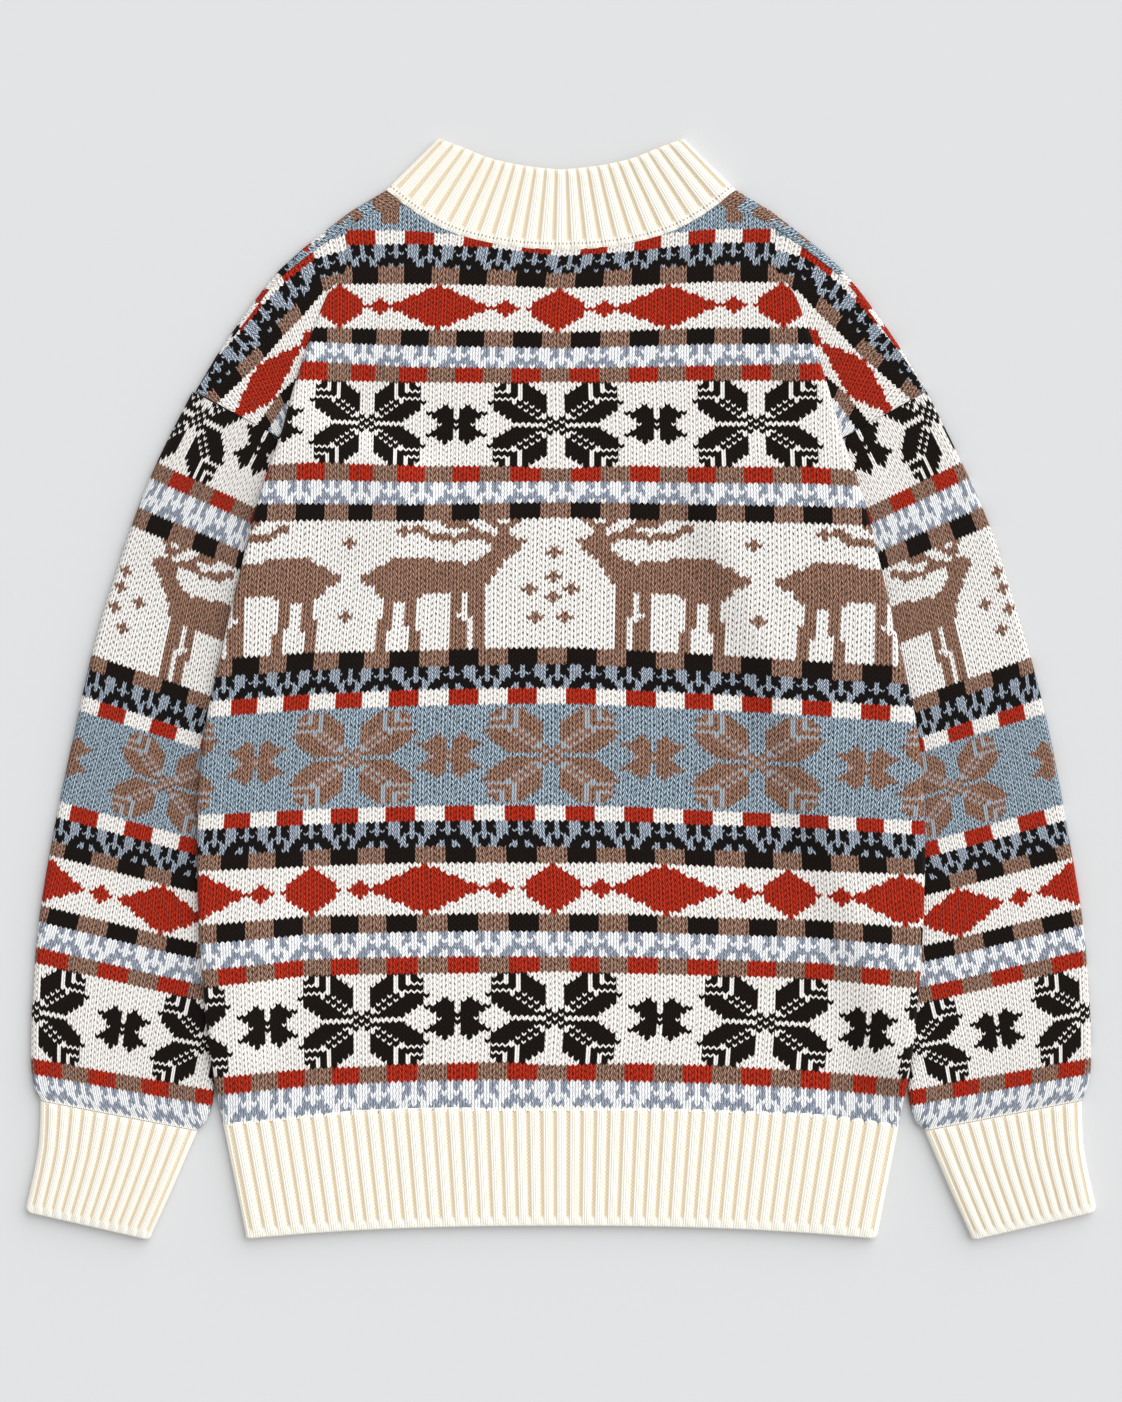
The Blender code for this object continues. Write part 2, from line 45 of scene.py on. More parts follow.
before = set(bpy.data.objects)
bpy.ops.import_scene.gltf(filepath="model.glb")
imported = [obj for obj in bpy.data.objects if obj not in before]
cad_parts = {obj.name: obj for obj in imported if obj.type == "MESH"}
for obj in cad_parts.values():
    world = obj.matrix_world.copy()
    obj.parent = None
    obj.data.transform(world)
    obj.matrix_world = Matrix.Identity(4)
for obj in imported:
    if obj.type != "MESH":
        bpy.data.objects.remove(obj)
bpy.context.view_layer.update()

# ---- Cloth, as in the solids ----
WALL = 0.0030
LAYER_GAP = 0.0006
STACK = 2 * WALL + LAYER_GAP
FOLD_REACH = 0.0050
FOLD_ARC = 0.00665          # length of cloth in a quarter of a fold
# How far the sleeves lift the body, and how far past their outline it stays up and then sinks.
LIFT, LIFT_MARGIN, LIFT_RAMP = 0.0075, 0.012, 0.035
LIFT_END = -0.2550          # below this y the sleeves lie clear of the body
ARMHOLE_Y, CREASE_TOP = 0.1770, 0.2850      # where the crease beside the shoulder starts and ends
CREASE_REACH = 0.045        # how far in from the crease the lift that it causes dies away
LIP_REACH = 0.0040          # how far in the crease's rounded lip starts
LIP_UNDER = 0.0045          # how far the shoulder's cloth runs on under the lip
UNDER_LIP_DROP = 0.0004     # how much lower the shoulder's cloth lies than the body's
HEM_LAP = 0.0030            # how far the body's cloth runs on past the hem's seam
NECK_GAP = 0.0005           # how far off the collar's seam the shoulder seam ends
NECK_LAP = 0.0006           # how far the back runs on past the collar's seam
# Where the shoulder's own cloth takes over from the body's, and the x from which it runs beneath.
JOINT_X, JOINT_Y, JOINT_INNER_X = 0.1500, 0.2950, 0.1455

# y and x of the body's edge on the +X side, and above the armhole of the crease.
BODY_EDGE = np.array((
    (-0.3025, 0.2373), (-0.2867, 0.2406), (-0.2517, 0.2460), (-0.2027, 0.2508),
    (-0.1467, 0.2540), (-0.0837, 0.2543), (-0.0417, 0.2510), (-0.0137, 0.2468),
    (0.0249, 0.2382), (0.0600, 0.2300), (0.0984, 0.2208), (0.1264, 0.2138), (0.1558, 0.2045),
    (0.1770, 0.1970), (0.2132, 0.1870), (0.2594, 0.1710), (0.2850, 0.1590), (0.3050, 0.1385),
    (0.3200, 0.1190), (0.3316, 0.0970),
))
# y and x of the shoulder's edge.
SHOULDER_EDGE = np.array((
    (0.2097, 0.2565), (0.2384, 0.2394), (0.2594, 0.2250), (0.2804, 0.2095), (0.2950, 0.1975),
    (0.3084, 0.1828), (0.3224, 0.1655), (0.3364, 0.1470), (0.3510, 0.1225),
))
# y on the crease, y at the shoulder's edge, and where the shoulder seam lies in the edge's fold.
SHOULDER_ROWS = (
    (0.1770, 0.2097, 1.20), (0.2000, 0.2310, 1.60), (0.2240, 0.2520, 1.80),
    (0.2480, 0.2720, 1.88), (0.2690, 0.2900, 1.95), (0.2870, 0.3060, 2.30),
    (0.3030, 0.3210, 2.55), (0.3180, 0.3365, 3.00),
)
NECK_SEAM_TURN = 4.20       # the last of these at the neck
# The share of the way to the side, x and y on the collar's seam, and x and y on its free edge.
NECK = np.array((
    (0.0, 0.0000, 0.3087, 0.0000, 0.3637), (0.2, 0.0266, 0.3099, 0.0176, 0.3652),
    (0.4, 0.0529, 0.3138, 0.0351, 0.3680), (0.6, 0.0785, 0.3212, 0.0521, 0.3723),
    (0.8, 0.1018, 0.3342, 0.0690, 0.3792), (1.0, 0.1225, 0.3510, 0.0870, 0.3860),
))
NECK_HALF_LENGTH = 0.1335
FRONT_NECK_DROP = 0.035
# y and x on the outer edge, how many degrees the line across is tilted, and the width along it.
SLEEVE = np.array((
    (0.2097, 0.2565, 28.8, 0.158), (0.1544, 0.2833, 25.5, 0.160), (0.0914, 0.3054, 22.0, 0.160),
    (0.0074, 0.3314, 17.5, 0.156), (-0.0767, 0.3510, 14.0, 0.149), (-0.1607, 0.3658, 12.0, 0.1385),
    (-0.2237, 0.3710, 10.8, 0.1305), (-0.2620, 0.3717, 10.0, 0.1300),
    (-0.2790, 0.3692, 10.3, 0.1230), (-0.2872, 0.3650, 10.8, 0.1120),
))
SLEEVE_STATIONS = (0.2097, 0.1850, 0.1544, 0.1240, 0.0914, 0.0500, 0.0074, -0.0350, -0.0767,
                   -0.1190, -0.1607, -0.1950, -0.2237, -0.2450, -0.2620, -0.2720)
SLEEVE_END = -0.2872
# How far the top of a sleeve is drawn down under the body, and where across it that begins.
HIDDEN_TOP_SHIFT = 0.0028
HIDDEN_TOP_START = 0.0590
HIDDEN_TOP_BLEND = 0.0080
# The same for the seam and the free edge of a cuff.
CUFF = np.array(((-0.2875, 0.3650, 10.8, 0.1120), (-0.3655, 0.3723, 13.3, 0.0877)))
# The hem's seam and free edge: y in the middle, how far they droop at the sides, half the length.
HEM_TOP_MIDDLE, HEM_TOP_DROOP, HEM_TOP_HALF = -0.2916, 0.0112, 0.2373
HEM_BOTTOM_MIDDLE, HEM_BOTTOM_DROOP, HEM_BOTTOM_HALF = -0.3738, 0.0092, 0.2216
HEM_BOTTOM_POWER, DROOP_POWER = 2.4, 3.0
HEM_RIBS, COLLAR_RIBS, CUFF_RIBS = 49, 23, 12
# How far the outer edge of a cuff bends in and then flares, along its depth.
CUFF_ALONG = (0, 0.2, 0.4, 0.6, 0.8, 1.0)
CUFF_FLARE = (0, -0.0012, -0.0018, -0.0006, 0.0014, 0.0034)
CUFF_BOW = 0.0015           # how far its free edge is drawn up
CHEVRON = 0.7               # how far the legs of a stitch slant, in rows
ROW_OVER_STITCH = 0.7       # how tall a row is, where a stitch is 1 wide
BODY_CHECK, SLEEVE_CHECK = 5, 6     # how many stitches a check is wide

# ---- Where the stitches lie, in millimetres ----
# x of some stitches of the body on some rows, then y of many rows at some x.
WALES = (-60, -45, -30, -15, 0, 15, 30, 45, 55)
WALE_ROWS = (8, 21, 46, 54, 74, 88, 103, 114, 131, 150, 173, 187, 205, 214, 224)
WALE_X = np.array((
    (-235.5, -179.5, -122.1, -58.5, 4.0, 64.6, 126.3, 188.6, 220.5),
    (-237.6, -180.6, -122.1, -57.3, 6.5, 67.3, 129.0, 191.1, 227.5),
    (-240.7, -180.9, -122.3, -58.0, 5.8, 67.5, 131.9, 190.6, 231.2),
    (-239.2, -180.5, -123.8, -58.6, 5.6, 66.7, 129.9, 190.2, 229.0),
    (-235.3, -180.3, -123.0, -60.9, 3.0, 64.6, 127.1, 186.7, 225.3),
    (-233.1, -178.7, -122.6, -59.6, 3.9, 67.2, 127.4, 187.8, 228.3),
    (-230.3, -175.8, -120.7, -57.7, 3.4, 66.5, 126.7, 189.1, 230.0),
    (-229.6, -172.6, -120.1, -57.8, 4.2, 66.4, 125.9, 189.4, 231.3),
    (-229.2, -167.8, -116.3, -57.6, 5.0, 67.3, 128.2, 192.1, 231.6),
    (-225.1, -165.1, -115.0, -57.2, 6.9, 69.1, 128.5, 189.6, 230.6),
    (-221.8, -164.9, -114.0, -56.1, 7.2, 69.3, 126.6, 186.7, 228.3),
    (-220.8, -163.4, -113.6, -54.7, 5.8, 67.9, 126.8, 187.2, 226.4),
    (-218.7, -163.9, -110.7, -53.1, 7.9, 69.4, 126.9, 183.6, 221.1),
    (-216.4, -164.1, -109.9, -52.0, 10.0, 69.3, 125.6, 183.0, 219.4),
    (-233.0, -171.5, -109.4, -47.3, 14.1, 70.2, 127.2, 186.3, 225.0),
))
ROW_X = (-245, -175, -105, -50, 0, 50, 105, 175, 245)
ROW_Y = (
    (0, (-303.6, -295.9, -292.9, -291.3, -289.8, -291.3, -292.8, -296.9, -304.7)),
    (6, (-282.5, -275.9, -272.6, -271.6, -272.0, -272.7, -274.1, -277.7, -284.2)),
    (10, (-269.7, -263.9, -260.9, -259.1, -261.4, -259.9, -261.5, -265.4, -270.8)),
    (33, (-206.1, -198.7, -197.4, -197.0, -195.9, -197.4, -198.8, -200.7, -206.8)),
    (37, (-193.9, -187.2, -185.5, -185.2, -185.5, -185.5, -187.5, -189.5, -194.9)),
    (44, (-175.8, -169.9, -168.4, -167.7, -168.1, -168.5, -170.2, -172.1, -177.4)),
    (48, (-162.2, -156.5, -155.9, -154.7, -155.2, -155.5, -158.1, -159.4, -164.1)),
    (61, (-124.9, -122.2, -119.9, -119.7, -119.9, -119.8, -122.3, -125.2, -127.5)),
    (65, (-114.1, -110.6, -108.3, -108.2, -108.3, -109.7, -110.8, -113.0, -116.4)),
    (72, (-96.2, -92.8, -90.6, -90.1, -90.3, -91.0, -93.5, -95.2, -99.8)),
    (76, (-85.8, -82.1, -80.3, -79.3, -79.8, -80.5, -83.5, -86.2, -89.9)),
    (101, (-17.5, -12.3, -10.0, -8.6, -8.1, -10.0, -12.6, -16.5, -21.6)),
    (105, (-6.6, -1.7, 1.3, 2.4, 2.9, 1.0, -1.6, -6.2, -10.4)),
    (112, (9.9, 15.0, 17.2, 18.5, 19.4, 17.2, 14.0, 8.9, 5.0)),
    (116, (22.8, 27.7, 28.9, 30.7, 31.4, 29.2, 26.3, 21.6, 17.8)),
    (148, (118.1, 119.7, 119.2, 120.7, 121.9, 120.8, 119.0, 117.7, 115.0)),
    (152, (131.5, 131.5, 130.8, 132.3, 132.9, 132.5, 130.8, 129.9, 127.2)),
    (158, (146.1, 147.9, 146.2, 147.1, 147.0, 147.2, 145.7, 145.3, 141.5)),
    (162, (156.1, 160.4, 158.0, 158.4, 156.2, 158.6, 157.2, 157.2, 151.6)),
    (185, (217.0, 217.9, 216.8, 216.2, 216.9, 216.5, 218.2, 217.5, 217.5)),
    (189, (231.5, 231.6, 227.5, 227.0, 226.5, 227.4, 228.6, 230.0, 230.3)),
    (195, (244.9, 244.8, 242.1, 241.4, 240.5, 241.7, 243.6, 243.2, 243.1)),
    (199, (256.7, 255.3, 253.8, 253.1, 252.0, 253.2, 255.2, 255.3, 255.0)),
    (212, (284.6, 285.2, 285.6, 284.5, 282.4, 284.3, 287.0, 286.4, 283.7)),
    (216, (297.5, 298.6, 298.3, 295.9, 292.7, 296.4, 299.4, 299.1, 296.5)),
    (222, (308.1, 312.4, 313.7, 311.2, 305.1, 308.3, 314.5, 314.7, 311.3)),
    (226, (319.5, 324.1, 322.8, 317.9, 314.6, 318.4, 323.9, 324.6, 322.0)),
    (240, (356.5, 359.4, 357.1, 353.4, 350.0, 353.8, 357.9, 359.7, 356.7)),
)
# The shoulder on the -X side. On the +X side, stitch MIRROR_STITCH - s lies where s does here.
WING_WALES = (-40, -45, -50, -55, -60, -65, -70)
WING_ROWS = (197, 214, 224)
WING_PLACES = np.array((
    ((-146, 253.5), (-158, 241), (-170, 228.6), (-182.4, 216.7), (-195.7, 204.8), (-205.5, 190.8),
     (-215, 176.5)),
    ((-146.3, 289.5), (-167.7, 285.6), (-183.1, 267.1), (-196.6, 253.3), (-209.7, 237.3),
     (-225.5, 222.6), (-241.5, 208.4)),
    ((-150.8, 315.0), (-173.9, 307.6), (-196.8, 291.6), (-213.2, 275.0), (-228.6, 255.6),
     (-240.5, 243.8), (-254.5, 228.8)),
))
MIRROR_STITCH = -3.8
CHECKS_FURTHER = 1.9
# A sleeve's rows, and y on its outer edge in metres.
SLEEVE_ROWS = np.array((
    (0, -0.2846), (6, -0.2675), (10, -0.2563), (33, -0.1917), (37, -0.1805), (44, -0.1630),
    (48, -0.1513), (61, -0.1163), (65, -0.1061), (72, -0.0899), (76, -0.0787), (101, -0.0148),
    (105, -0.0045), (112, 0.0140), (116, 0.0243), (148, 0.1166), (152, 0.1299), (158, 0.1502),
    (162, 0.1611), (173.5, 0.1980), (177, 0.2097),
))
# Row, and there the place of stitch 0 in from the outer edge and the width of a stitch, by side.
SLEEVE_WALES = {
    -1: np.array(((8, 2.9, 3.18), (35, 1.7, 3.61), (46, 6.5, 3.54), (63, 10.7, 3.18), (74, 9.1, 3.28),
                  (103, 14.0, 3.08), (114, 12.5, 3.22), (150, 10.5, 2.67), (160, 14.2, 2.49))),
    1: np.array(((8, 4.9, 3.13), (35, 3.1, 3.61), (46, 7.5, 3.54), (63, 11.1, 3.19), (74, 14.3, 3.20),
                 (103, 14.4, 2.96), (114, 10.3, 3.15), (150, 10.0, 2.63), (160, 7.4, 2.77))),
}
# How far each sleeve's outer edge swells, and where along it.
SWELL_Y = (-0.10, -0.03, 0.05, 0.105, 0.16, 0.21)
SLEEVE_SWELL = {-1: (0, 0, 0.0033, 0.0040, 0.0025, 0.0020), 1: (0, 0.0018, 0.0030, 0.0040, 0, 0)}
ROW_TILT = 0.0275           # how steeply a sleeve's rows drop from its outer edge inwards
LEFT_SLEEVE_RISE = 0.0020   # how much further up they lie on the left sleeve

# ---- Yarns ----
YARNS = ("cream", "white", "black", "red", "tan", "fawn", "blue", "marl_white", "marl_blue",
         "wave_blue", "wave_black", "snow", "white", "blue")
(CREAM, WHITE, BLACK, RED, TAN, FAWN, BLUE, MARL_WHITE, MARL_BLUE, WAVE_BLUE, WAVE_BLACK, SNOW,
 WHITE_LINE, BLUE_LINE) = range(len(YARNS))
LINES = {WHITE: WHITE_LINE, BLUE: BLUE_LINE}
# What shows in the gaps of each yarn, painted shade mixed with the strands of other yarns behind: its
# colour, how strongly as fine specks at every leg of a stitch, how strongly as wider dots, and how much
# the yarn swells over a thin line of another. On black the gaps are lighter, a painted highlight.
Gap = namedtuple("Gap", "colour specks dots bulk")
GAPS = {
    CREAM: Gap((205, 185, 150), 0.20, 0.0, 1), WHITE: Gap((112, 92, 84), 0.12, 0.85, 1),
    BLACK: Gap((46, 34, 28), 0.45, 0.0, 2), RED: Gap((76, 6, 3), 0.80, 0.90, 1),
    TAN: Gap((50, 28, 20), 1.0, 1.0, 1), FAWN: Gap((56, 30, 21), 1.0, 0.95, 2),
    BLUE: Gap((18, 23, 38), 1.0, 1.0, 1), MARL_WHITE: Gap((150, 160, 175), 0.45, 0.0, 1),
    MARL_BLUE: Gap((85, 95, 112), 0.75, 0.20, 1), WAVE_BLUE: Gap((20, 20, 26), 1.0, 0.45, 0),
    WAVE_BLACK: Gap((34, 28, 26), 0.35, 0.0, 1), SNOW: Gap((100, 66, 49), 0.12, 1.0, 1),
    WHITE_LINE: Gap((30, 24, 22), 0.10, 0.0, 0), BLUE_LINE: Gap((48, 54, 70), 0.60, 0.0, 0),
}
MARL = (MARL_WHITE, MARL_BLUE)      # these two mottle each other
# What shows of the front past the shoulder's fold, from the neck outwards: where each yarn starts.
TRIM = {
    -1: ((0.0, BLUE), (0.1172, TAN), (0.1340, BLUE), (0.1431, TAN), (0.1585, BLUE), (0.1656, WHITE),
         (0.1754, RED), (0.1820, WAVE_BLUE), (0.1920, BLACK), (0.1991, WHITE), (0.2080, RED),
         (0.2150, WHITE), (0.2270, BLACK), (0.2320, WHITE), (0.2400, BLACK)),
    1: ((0.0, BLUE), (0.1172, TAN), (0.1300, BLUE), (0.1387, TAN), (0.1600, BLUE), (0.1670, TAN),
        (0.1740, BLUE), (0.1985, WHITE), (0.2040, RED), (0.2187, WHITE), (0.2270, RED), (0.2380, WHITE)),
}
# It is blue again this far past the fold, between these two distances from the middle.
TRIM_BLUE_PAST, TRIM_BLUE_FROM, TRIM_BLUE_TO = 0.0062, 0.1500, 0.1950


# ---- Numbers and tables ----
def ease(share):
    """Run softly from 0 to 1 as share does, and stay there."""
    share = np.clip(share, 0.0, 1.0)
    return share * share * (3.0 - 2.0 * share)


def mix(low, high, share):
    return low + (high - low) * share


def find_span(keys, at):
    """Say which key each place follows, and how far on it is towards the next."""
    span = np.clip(np.searchsorted(keys, at, side="right") - 1, 0, len(keys) - 2)
    return span, (at - keys[span]) / (keys[span + 1] - keys[span])


def curve(keys, values, at):
    """Read a smooth curve through the points of a table; keys rise or fall steadily."""
    keys, values = np.asarray(keys, float), np.asarray(values, float)
    if keys[0] > keys[-1]:
        keys, values = keys[::-1], values[::-1]
    span, t = find_span(keys, np.clip(at, keys[0], keys[-1]))
    each = np.arange(len(keys))
    before, after = np.maximum(each - 1, 0), np.minimum(each + 1, len(keys) - 1)
    slope = (values[after] - values[before]) / (keys[after] - keys[before])
    rise = (2 * t ** 3 - 3 * t ** 2 + 1) * values[span] + (3 * t ** 2 - 2 * t ** 3) * values[span + 1]
    bend = (t ** 3 - 2 * t ** 2 + t) * slope[span] + (t ** 3 - t ** 2) * slope[span + 1]
    return rise + bend * (keys[span + 1] - keys[span])


def line(keys, values, at):
    """Read straight lines through the points of a table, and carry them on past both ends."""
    values = np.asarray(values, float)
    span, share = find_span(np.asarray(keys, float), at)
    return mix(values[span], values[span + 1], share)


def between_rows(keys, tables, at, carry_on=False):
    """Mix the values that each row of a table gives, by where at lies between the rows."""
    span, share = find_span(np.asarray(keys, float), at)
    if not carry_on:
        share = np.clip(share, 0, 1)
    each = np.arange(len(at))
    return mix(tables[span, each], tables[span + 1, each], share)


# ---- Outlines ----
def nearest_on(outline, places, closed=True):
    """Give the nearest point of an outline to each place, its distance, and if it lies inside."""
    x, y = places[:, 0], places[:, 1]
    inside, best, near = np.zeros(len(x), bool), np.full(len(x), np.inf), places.copy()
    ends = np.roll(outline, -1, axis=0)
    for (ax, ay), (bx, by) in list(zip(outline, ends))[:None if closed else -1]:
        crosses = (ay > y) != (by > y)
        inside ^= crosses & (x < ax + (y - ay) * (bx - ax) / (by - ay if by != ay else 1.0))
        length = (bx - ax) ** 2 + (by - ay) ** 2 or 1e-12
        along = np.clip(((x - ax) * (bx - ax) + (y - ay) * (by - ay)) / length, 0, 1)
        px, py = mix(ax, bx, along), mix(ay, by, along)
        away = np.hypot(x - px, y - py)
        closer = away < best
        best = np.where(closer, away, best)
        near = np.where(closer[:, None], np.stack((px, py), 1), near)
    return near, best, inside


def both_halves(right):
    """Close an outline from its +X half, which runs from the middle round to the middle."""
    right = np.asarray(right, float)
    return np.concatenate((right, (right * (-1, 1))[::-1]))


def body_edge(y):
    return curve(BODY_EDGE[:, 0], BODY_EDGE[:, 1], y)


def neck_seam(share, drop):
    """Give a place on the neckline, from -1 at one side fold to 1 at the other."""
    half = np.abs(share)
    x = np.sign(share) * curve(NECK[:, 0], NECK[:, 1], half)
    return x, curve(NECK[:, 0], NECK[:, 2], half) - drop * np.cos(share * math.pi / 2) ** 2


def hem_top(share):
    """Give a place on the seam of the hem, from -1 at one side to 1 at the other."""
    return share * HEM_TOP_HALF, HEM_TOP_MIDDLE - HEM_TOP_DROOP * np.abs(share) ** DROOP_POWER


# ---- The fold along a shoulder's edge ----
def shoulder_line():
    """Give the shoulder's edge on the +X side, from the armhole to a little past the neck."""
    points = SHOULDER_EDGE[:, ::-1]
    past = points[-1] + (points[-1] - points[-2]) * 0.5
    return np.concatenate((points, past[None]))


def from_shoulder(places):
    """Give each +X place its foot on the shoulder's edge, the way out, and how far in it is."""
    edge = shoulder_line()
    foot, away, _ = nearest_on(edge, places, closed=False)
    chord = edge[-1] - edge[0]
    outwards = np.array((chord[1], -chord[0])) / np.hypot(*chord)
    side = np.sign(((foot - places) * outwards).sum(1))
    towards = (foot - places) / np.maximum(away, 1e-9)[:, None]
    out = np.where((away > 1e-5)[:, None], towards * side[:, None], outwards)
    return foot, out, away * side


def fold_height(turn):
    """Say how far in from an edge and how high the cloth is: 0 underside, 1 edge, 2 top."""
    angle = np.clip(turn, 0, 2) * math.pi / 2
    flat = np.maximum(-turn, turn - 2) * (np.abs(turn - 1) > 1) * FOLD_REACH
    return FOLD_REACH * (1 - np.sin(angle)) + flat, STACK / 2 * (1 - np.cos(angle))


def seam_points():
    """Give the shoulder seam as seen from above, on the +X side, from armhole to neck."""
    points = []
    for crease_y, edge_y, turn in SHOULDER_ROWS:
        start = np.array((float(body_edge(crease_y)), crease_y))
        end = np.array((float(curve(SHOULDER_EDGE[:, 0], SHOULDER_EDGE[:, 1], edge_y)), edge_y))
        along = (end - start) / np.hypot(*(end - start))
        points.append(end - along * fold_height(turn)[0])
    share = 1 - fold_height(NECK_SEAM_TURN)[0] / NECK_HALF_LENGTH
    x, y = neck_seam(share, 0.0)
    points.append(np.array((float(x), float(y) - NECK_GAP)))
    points = np.array(points)
    places = np.linspace(0, len(points) - 1, 40)
    return np.stack([curve(np.arange(len(points)), points[:, axis], places) for axis in (0, 1)], 1)


def unfold(points, is_back):
    """Press the fold of the shoulder flat: the plan of points that lie on top, before folding."""
    foot, out, inwards = from_shoulder(points)
    in_fold = inwards < FOLD_REACH
    angle = np.arcsin(np.clip(1 - inwards / FOLD_REACH, 0, 1))
    if is_back:
        reach = np.where(in_fold, FOLD_REACH - angle / (math.pi / 2) * FOLD_ARC, inwards)
        return foot - out * reach[:, None]
    turned = np.where(in_fold, FOLD_ARC * (2 - angle / (math.pi / 2)),
                      2 * FOLD_ARC + inwards - FOLD_REACH)
    return foot + out * (turned - FOLD_REACH)[:, None]


def fold_shoulder(x, y, height, is_back):
    """Turn what reaches past the shoulder's edge over or under it."""
    places = np.stack((np.abs(x), y), 1)
    foot, out, inwards = from_shoulder(places)
    past = FOLD_REACH - inwards
    folds = (past > 0) & (y > ARMHOLE_Y + 0.01) & (places[:, 0] > 0.09)
    steps = past / FOLD_ARC
    turn = 2 - steps if is_back else np.where(steps > 2, 2 + (past - 2 * FOLD_ARC) / FOLD_REACH, steps)
    reach, fold_z = fold_height(turn)
    placed = foot - out * reach[:, None]
    x = np.where(folds, np.sign(x) * placed[:, 0], x)
    y = np.where(folds, placed[:, 1], y)
    return x, y, np.where(folds, fold_z, height)


# ---- Sleeves, and where they lie under the body ----
def across(table, outer_y, distance):
    """Give the place at a distance in from the outer edge, along one line of a sleeve."""
    tilt = np.radians(curve(table[:, 0], table[:, 2], outer_y))
    x = curve(table[:, 0], table[:, 1], outer_y) - distance * np.cos(tilt)
    return x, outer_y - distance * np.sin(tilt)


def sleeve_outline():
    outer_y = np.array(SLEEVE_STATIONS)
    inner = np.stack(across(SLEEVE, outer_y, curve(SLEEVE[:, 0], SLEEVE[:, 3], outer_y)), 1)
    outer = np.stack(across(SLEEVE, outer_y, 0.0), 1)
    kept = inner[:, 1] >= LIFT_END
    return np.concatenate((outer[kept], inner[kept][::-1]))


LIFTING_OUTLINE = sleeve_outline()


def body_lift(x, y):
    """Give the height of the body's underside."""
    x = np.abs(x)
    _, away, inside = nearest_on(LIFTING_OUTLINE, np.stack((x, y), 1))
    away = np.where(inside, 0.0, away)
    over_sleeve = 1 - ease((away - LIFT_MARGIN) / LIFT_RAMP)
    above = y > ARMHOLE_Y
    growth = ease((CREASE_TOP - y) / (CREASE_TOP - ARMHOLE_Y))
    at_crease = np.where(above, growth * (1 - ease((body_edge(y) - x) / CREASE_REACH)), 0.0)
    return LIFT * (1 - (1 - over_sleeve) * (1 - at_crease))


# ---- Motifs, each drawn on counted stitches from its middle ----
def star(i, j):
    """An eight-pointed star, 23 stitches by 23 rows: 1 in the figure and 2 in its thin lines."""
    a, b = np.abs(i), np.abs(j)
    figure = (a <= 11) & (b <= 11) & (a + b <= 20) & ~((a == 11) & (b != 6))
    bare = ((a <= 1) & (b >= 3)) | ((a == 0) & (b == 2))
    bare |= (b >= 9) & (a <= b - 7)
    bare |= (b == 0) & (a >= 2)
    bare |= (a >= 8) & (b <= (a - 7) * 1.3)
    lines = (np.abs(a - b) == 1) & (np.maximum(a, b) <= 7) & (np.maximum(a, b) >= 3)
    lines |= (a == b) & (a <= 2)
    lines |= ((a == 6) & (b >= 8)) | ((b == 7) & (a >= 7))
    lines |= ((a == 8) & (b >= 10)) | ((b == 9) & (a >= 8))
    return np.where(figure & ~bare, np.where(lines, 2, 1), 0)


def flower(i, j):
    """A flower of four petals, 11 stitches by 11 rows."""
    a, b = np.abs(i), np.abs(j)
    widest = np.select([b == row for row in range(6)], [2, 3, 4, 5, 3, 2], -1)
    narrowest = np.select([b == row for row in range(6)], [1, 0, 1, 1, 1, 2], 0)
    seeds = (b == 0) & ((a == 0) | (a == 3))
    return np.where((a <= widest) & (a >= narrowest), 1, np.where(seeds, 2, 0))


def rhomb(i, j, half):
    """A long flat diamond with straight sides."""
    return (np.abs(j) <= 6) & (np.abs(i) <= half * (1 - np.abs(j) / 6.6))


def stroke(x, y, points, half):
    """A line through points, as wide as twice half."""
    points = np.array(points, float) * (1, ROW_OVER_STITCH)
    _, away, _ = nearest_on(points, np.stack((x, y * ROW_OVER_STITCH), 1), closed=False)
    return away <= half


def filled(x, y, corners):
    _, _, inside = nearest_on(np.array(corners, float), np.stack((x, y), 1))
    return inside


# A deer that faces to the left. x counts from the line that it and its mate face, y is the row.
DEER_BODY = ((4.0, 142.4), (6.0, 143.8), (9.4, 144.0), (9.8, 141.4), (11.6, 138.6), (14.0, 137.4),
             (19.0, 137.8), (20.5, 138.8), (27.2, 138.8), (30.0, 137.0), (33.6, 134.8), (34.0, 132.9),
             (31.2, 131.4), (29.6, 129.2), (27.6, 127.8), (23.6, 128.0), (21.4, 130.0), (11.2, 130.0),
             (9.6, 134.0), (7.6, 137.6), (5.2, 140.4))
DEER_LEGS = (
    ((11.1, 131), (11.1, 116), (13.0, 116), (13.0, 123.6), (14.0, 123.6), (14.0, 131)),
    ((14.8, 131), (15.0, 126.8), (15.8, 124.2), (14.5, 122.8), (14.5, 116), (16.6, 116),
     (16.6, 121.8), (17.4, 122.8), (17.2, 127.8), (16.3, 131)),
    ((23.5, 129), (23.5, 124), (22.7, 120.6), (21.9, 120.4), (21.9, 116), (23.9, 116),
     (24.0, 120.2), (24.8, 123.4), (25.4, 124.0), (25.4, 129)),
    ((27.5, 130), (27.5, 121.4), (28.5, 120.8), (28.5, 116), (30.4, 116), (30.4, 123.2),
     (29.4, 123.8), (29.2, 130)),
)
DEER_ANTLERS = (
    ((8.0, 143.5), (8.0, 145.2), (5.2, 148.4)), ((8.0, 145.2), (11.0, 148.4)),
    ((9.0, 142.8), (12.4, 144.4), (16.0, 143.4), (19.6, 143.8), (23.4, 146.2)),
    ((12.6, 144.6), (15.0, 147.6)), ((15.0, 146.4), (18.2, 147.4)),
)
ANTLER_HALF = 0.68
# Round a sleeve's fold a deer has no hind legs: past this many stitches, up to this row.
SLEEVE_DEER_END, SLEEVE_DEER_BELLY = 20, 129


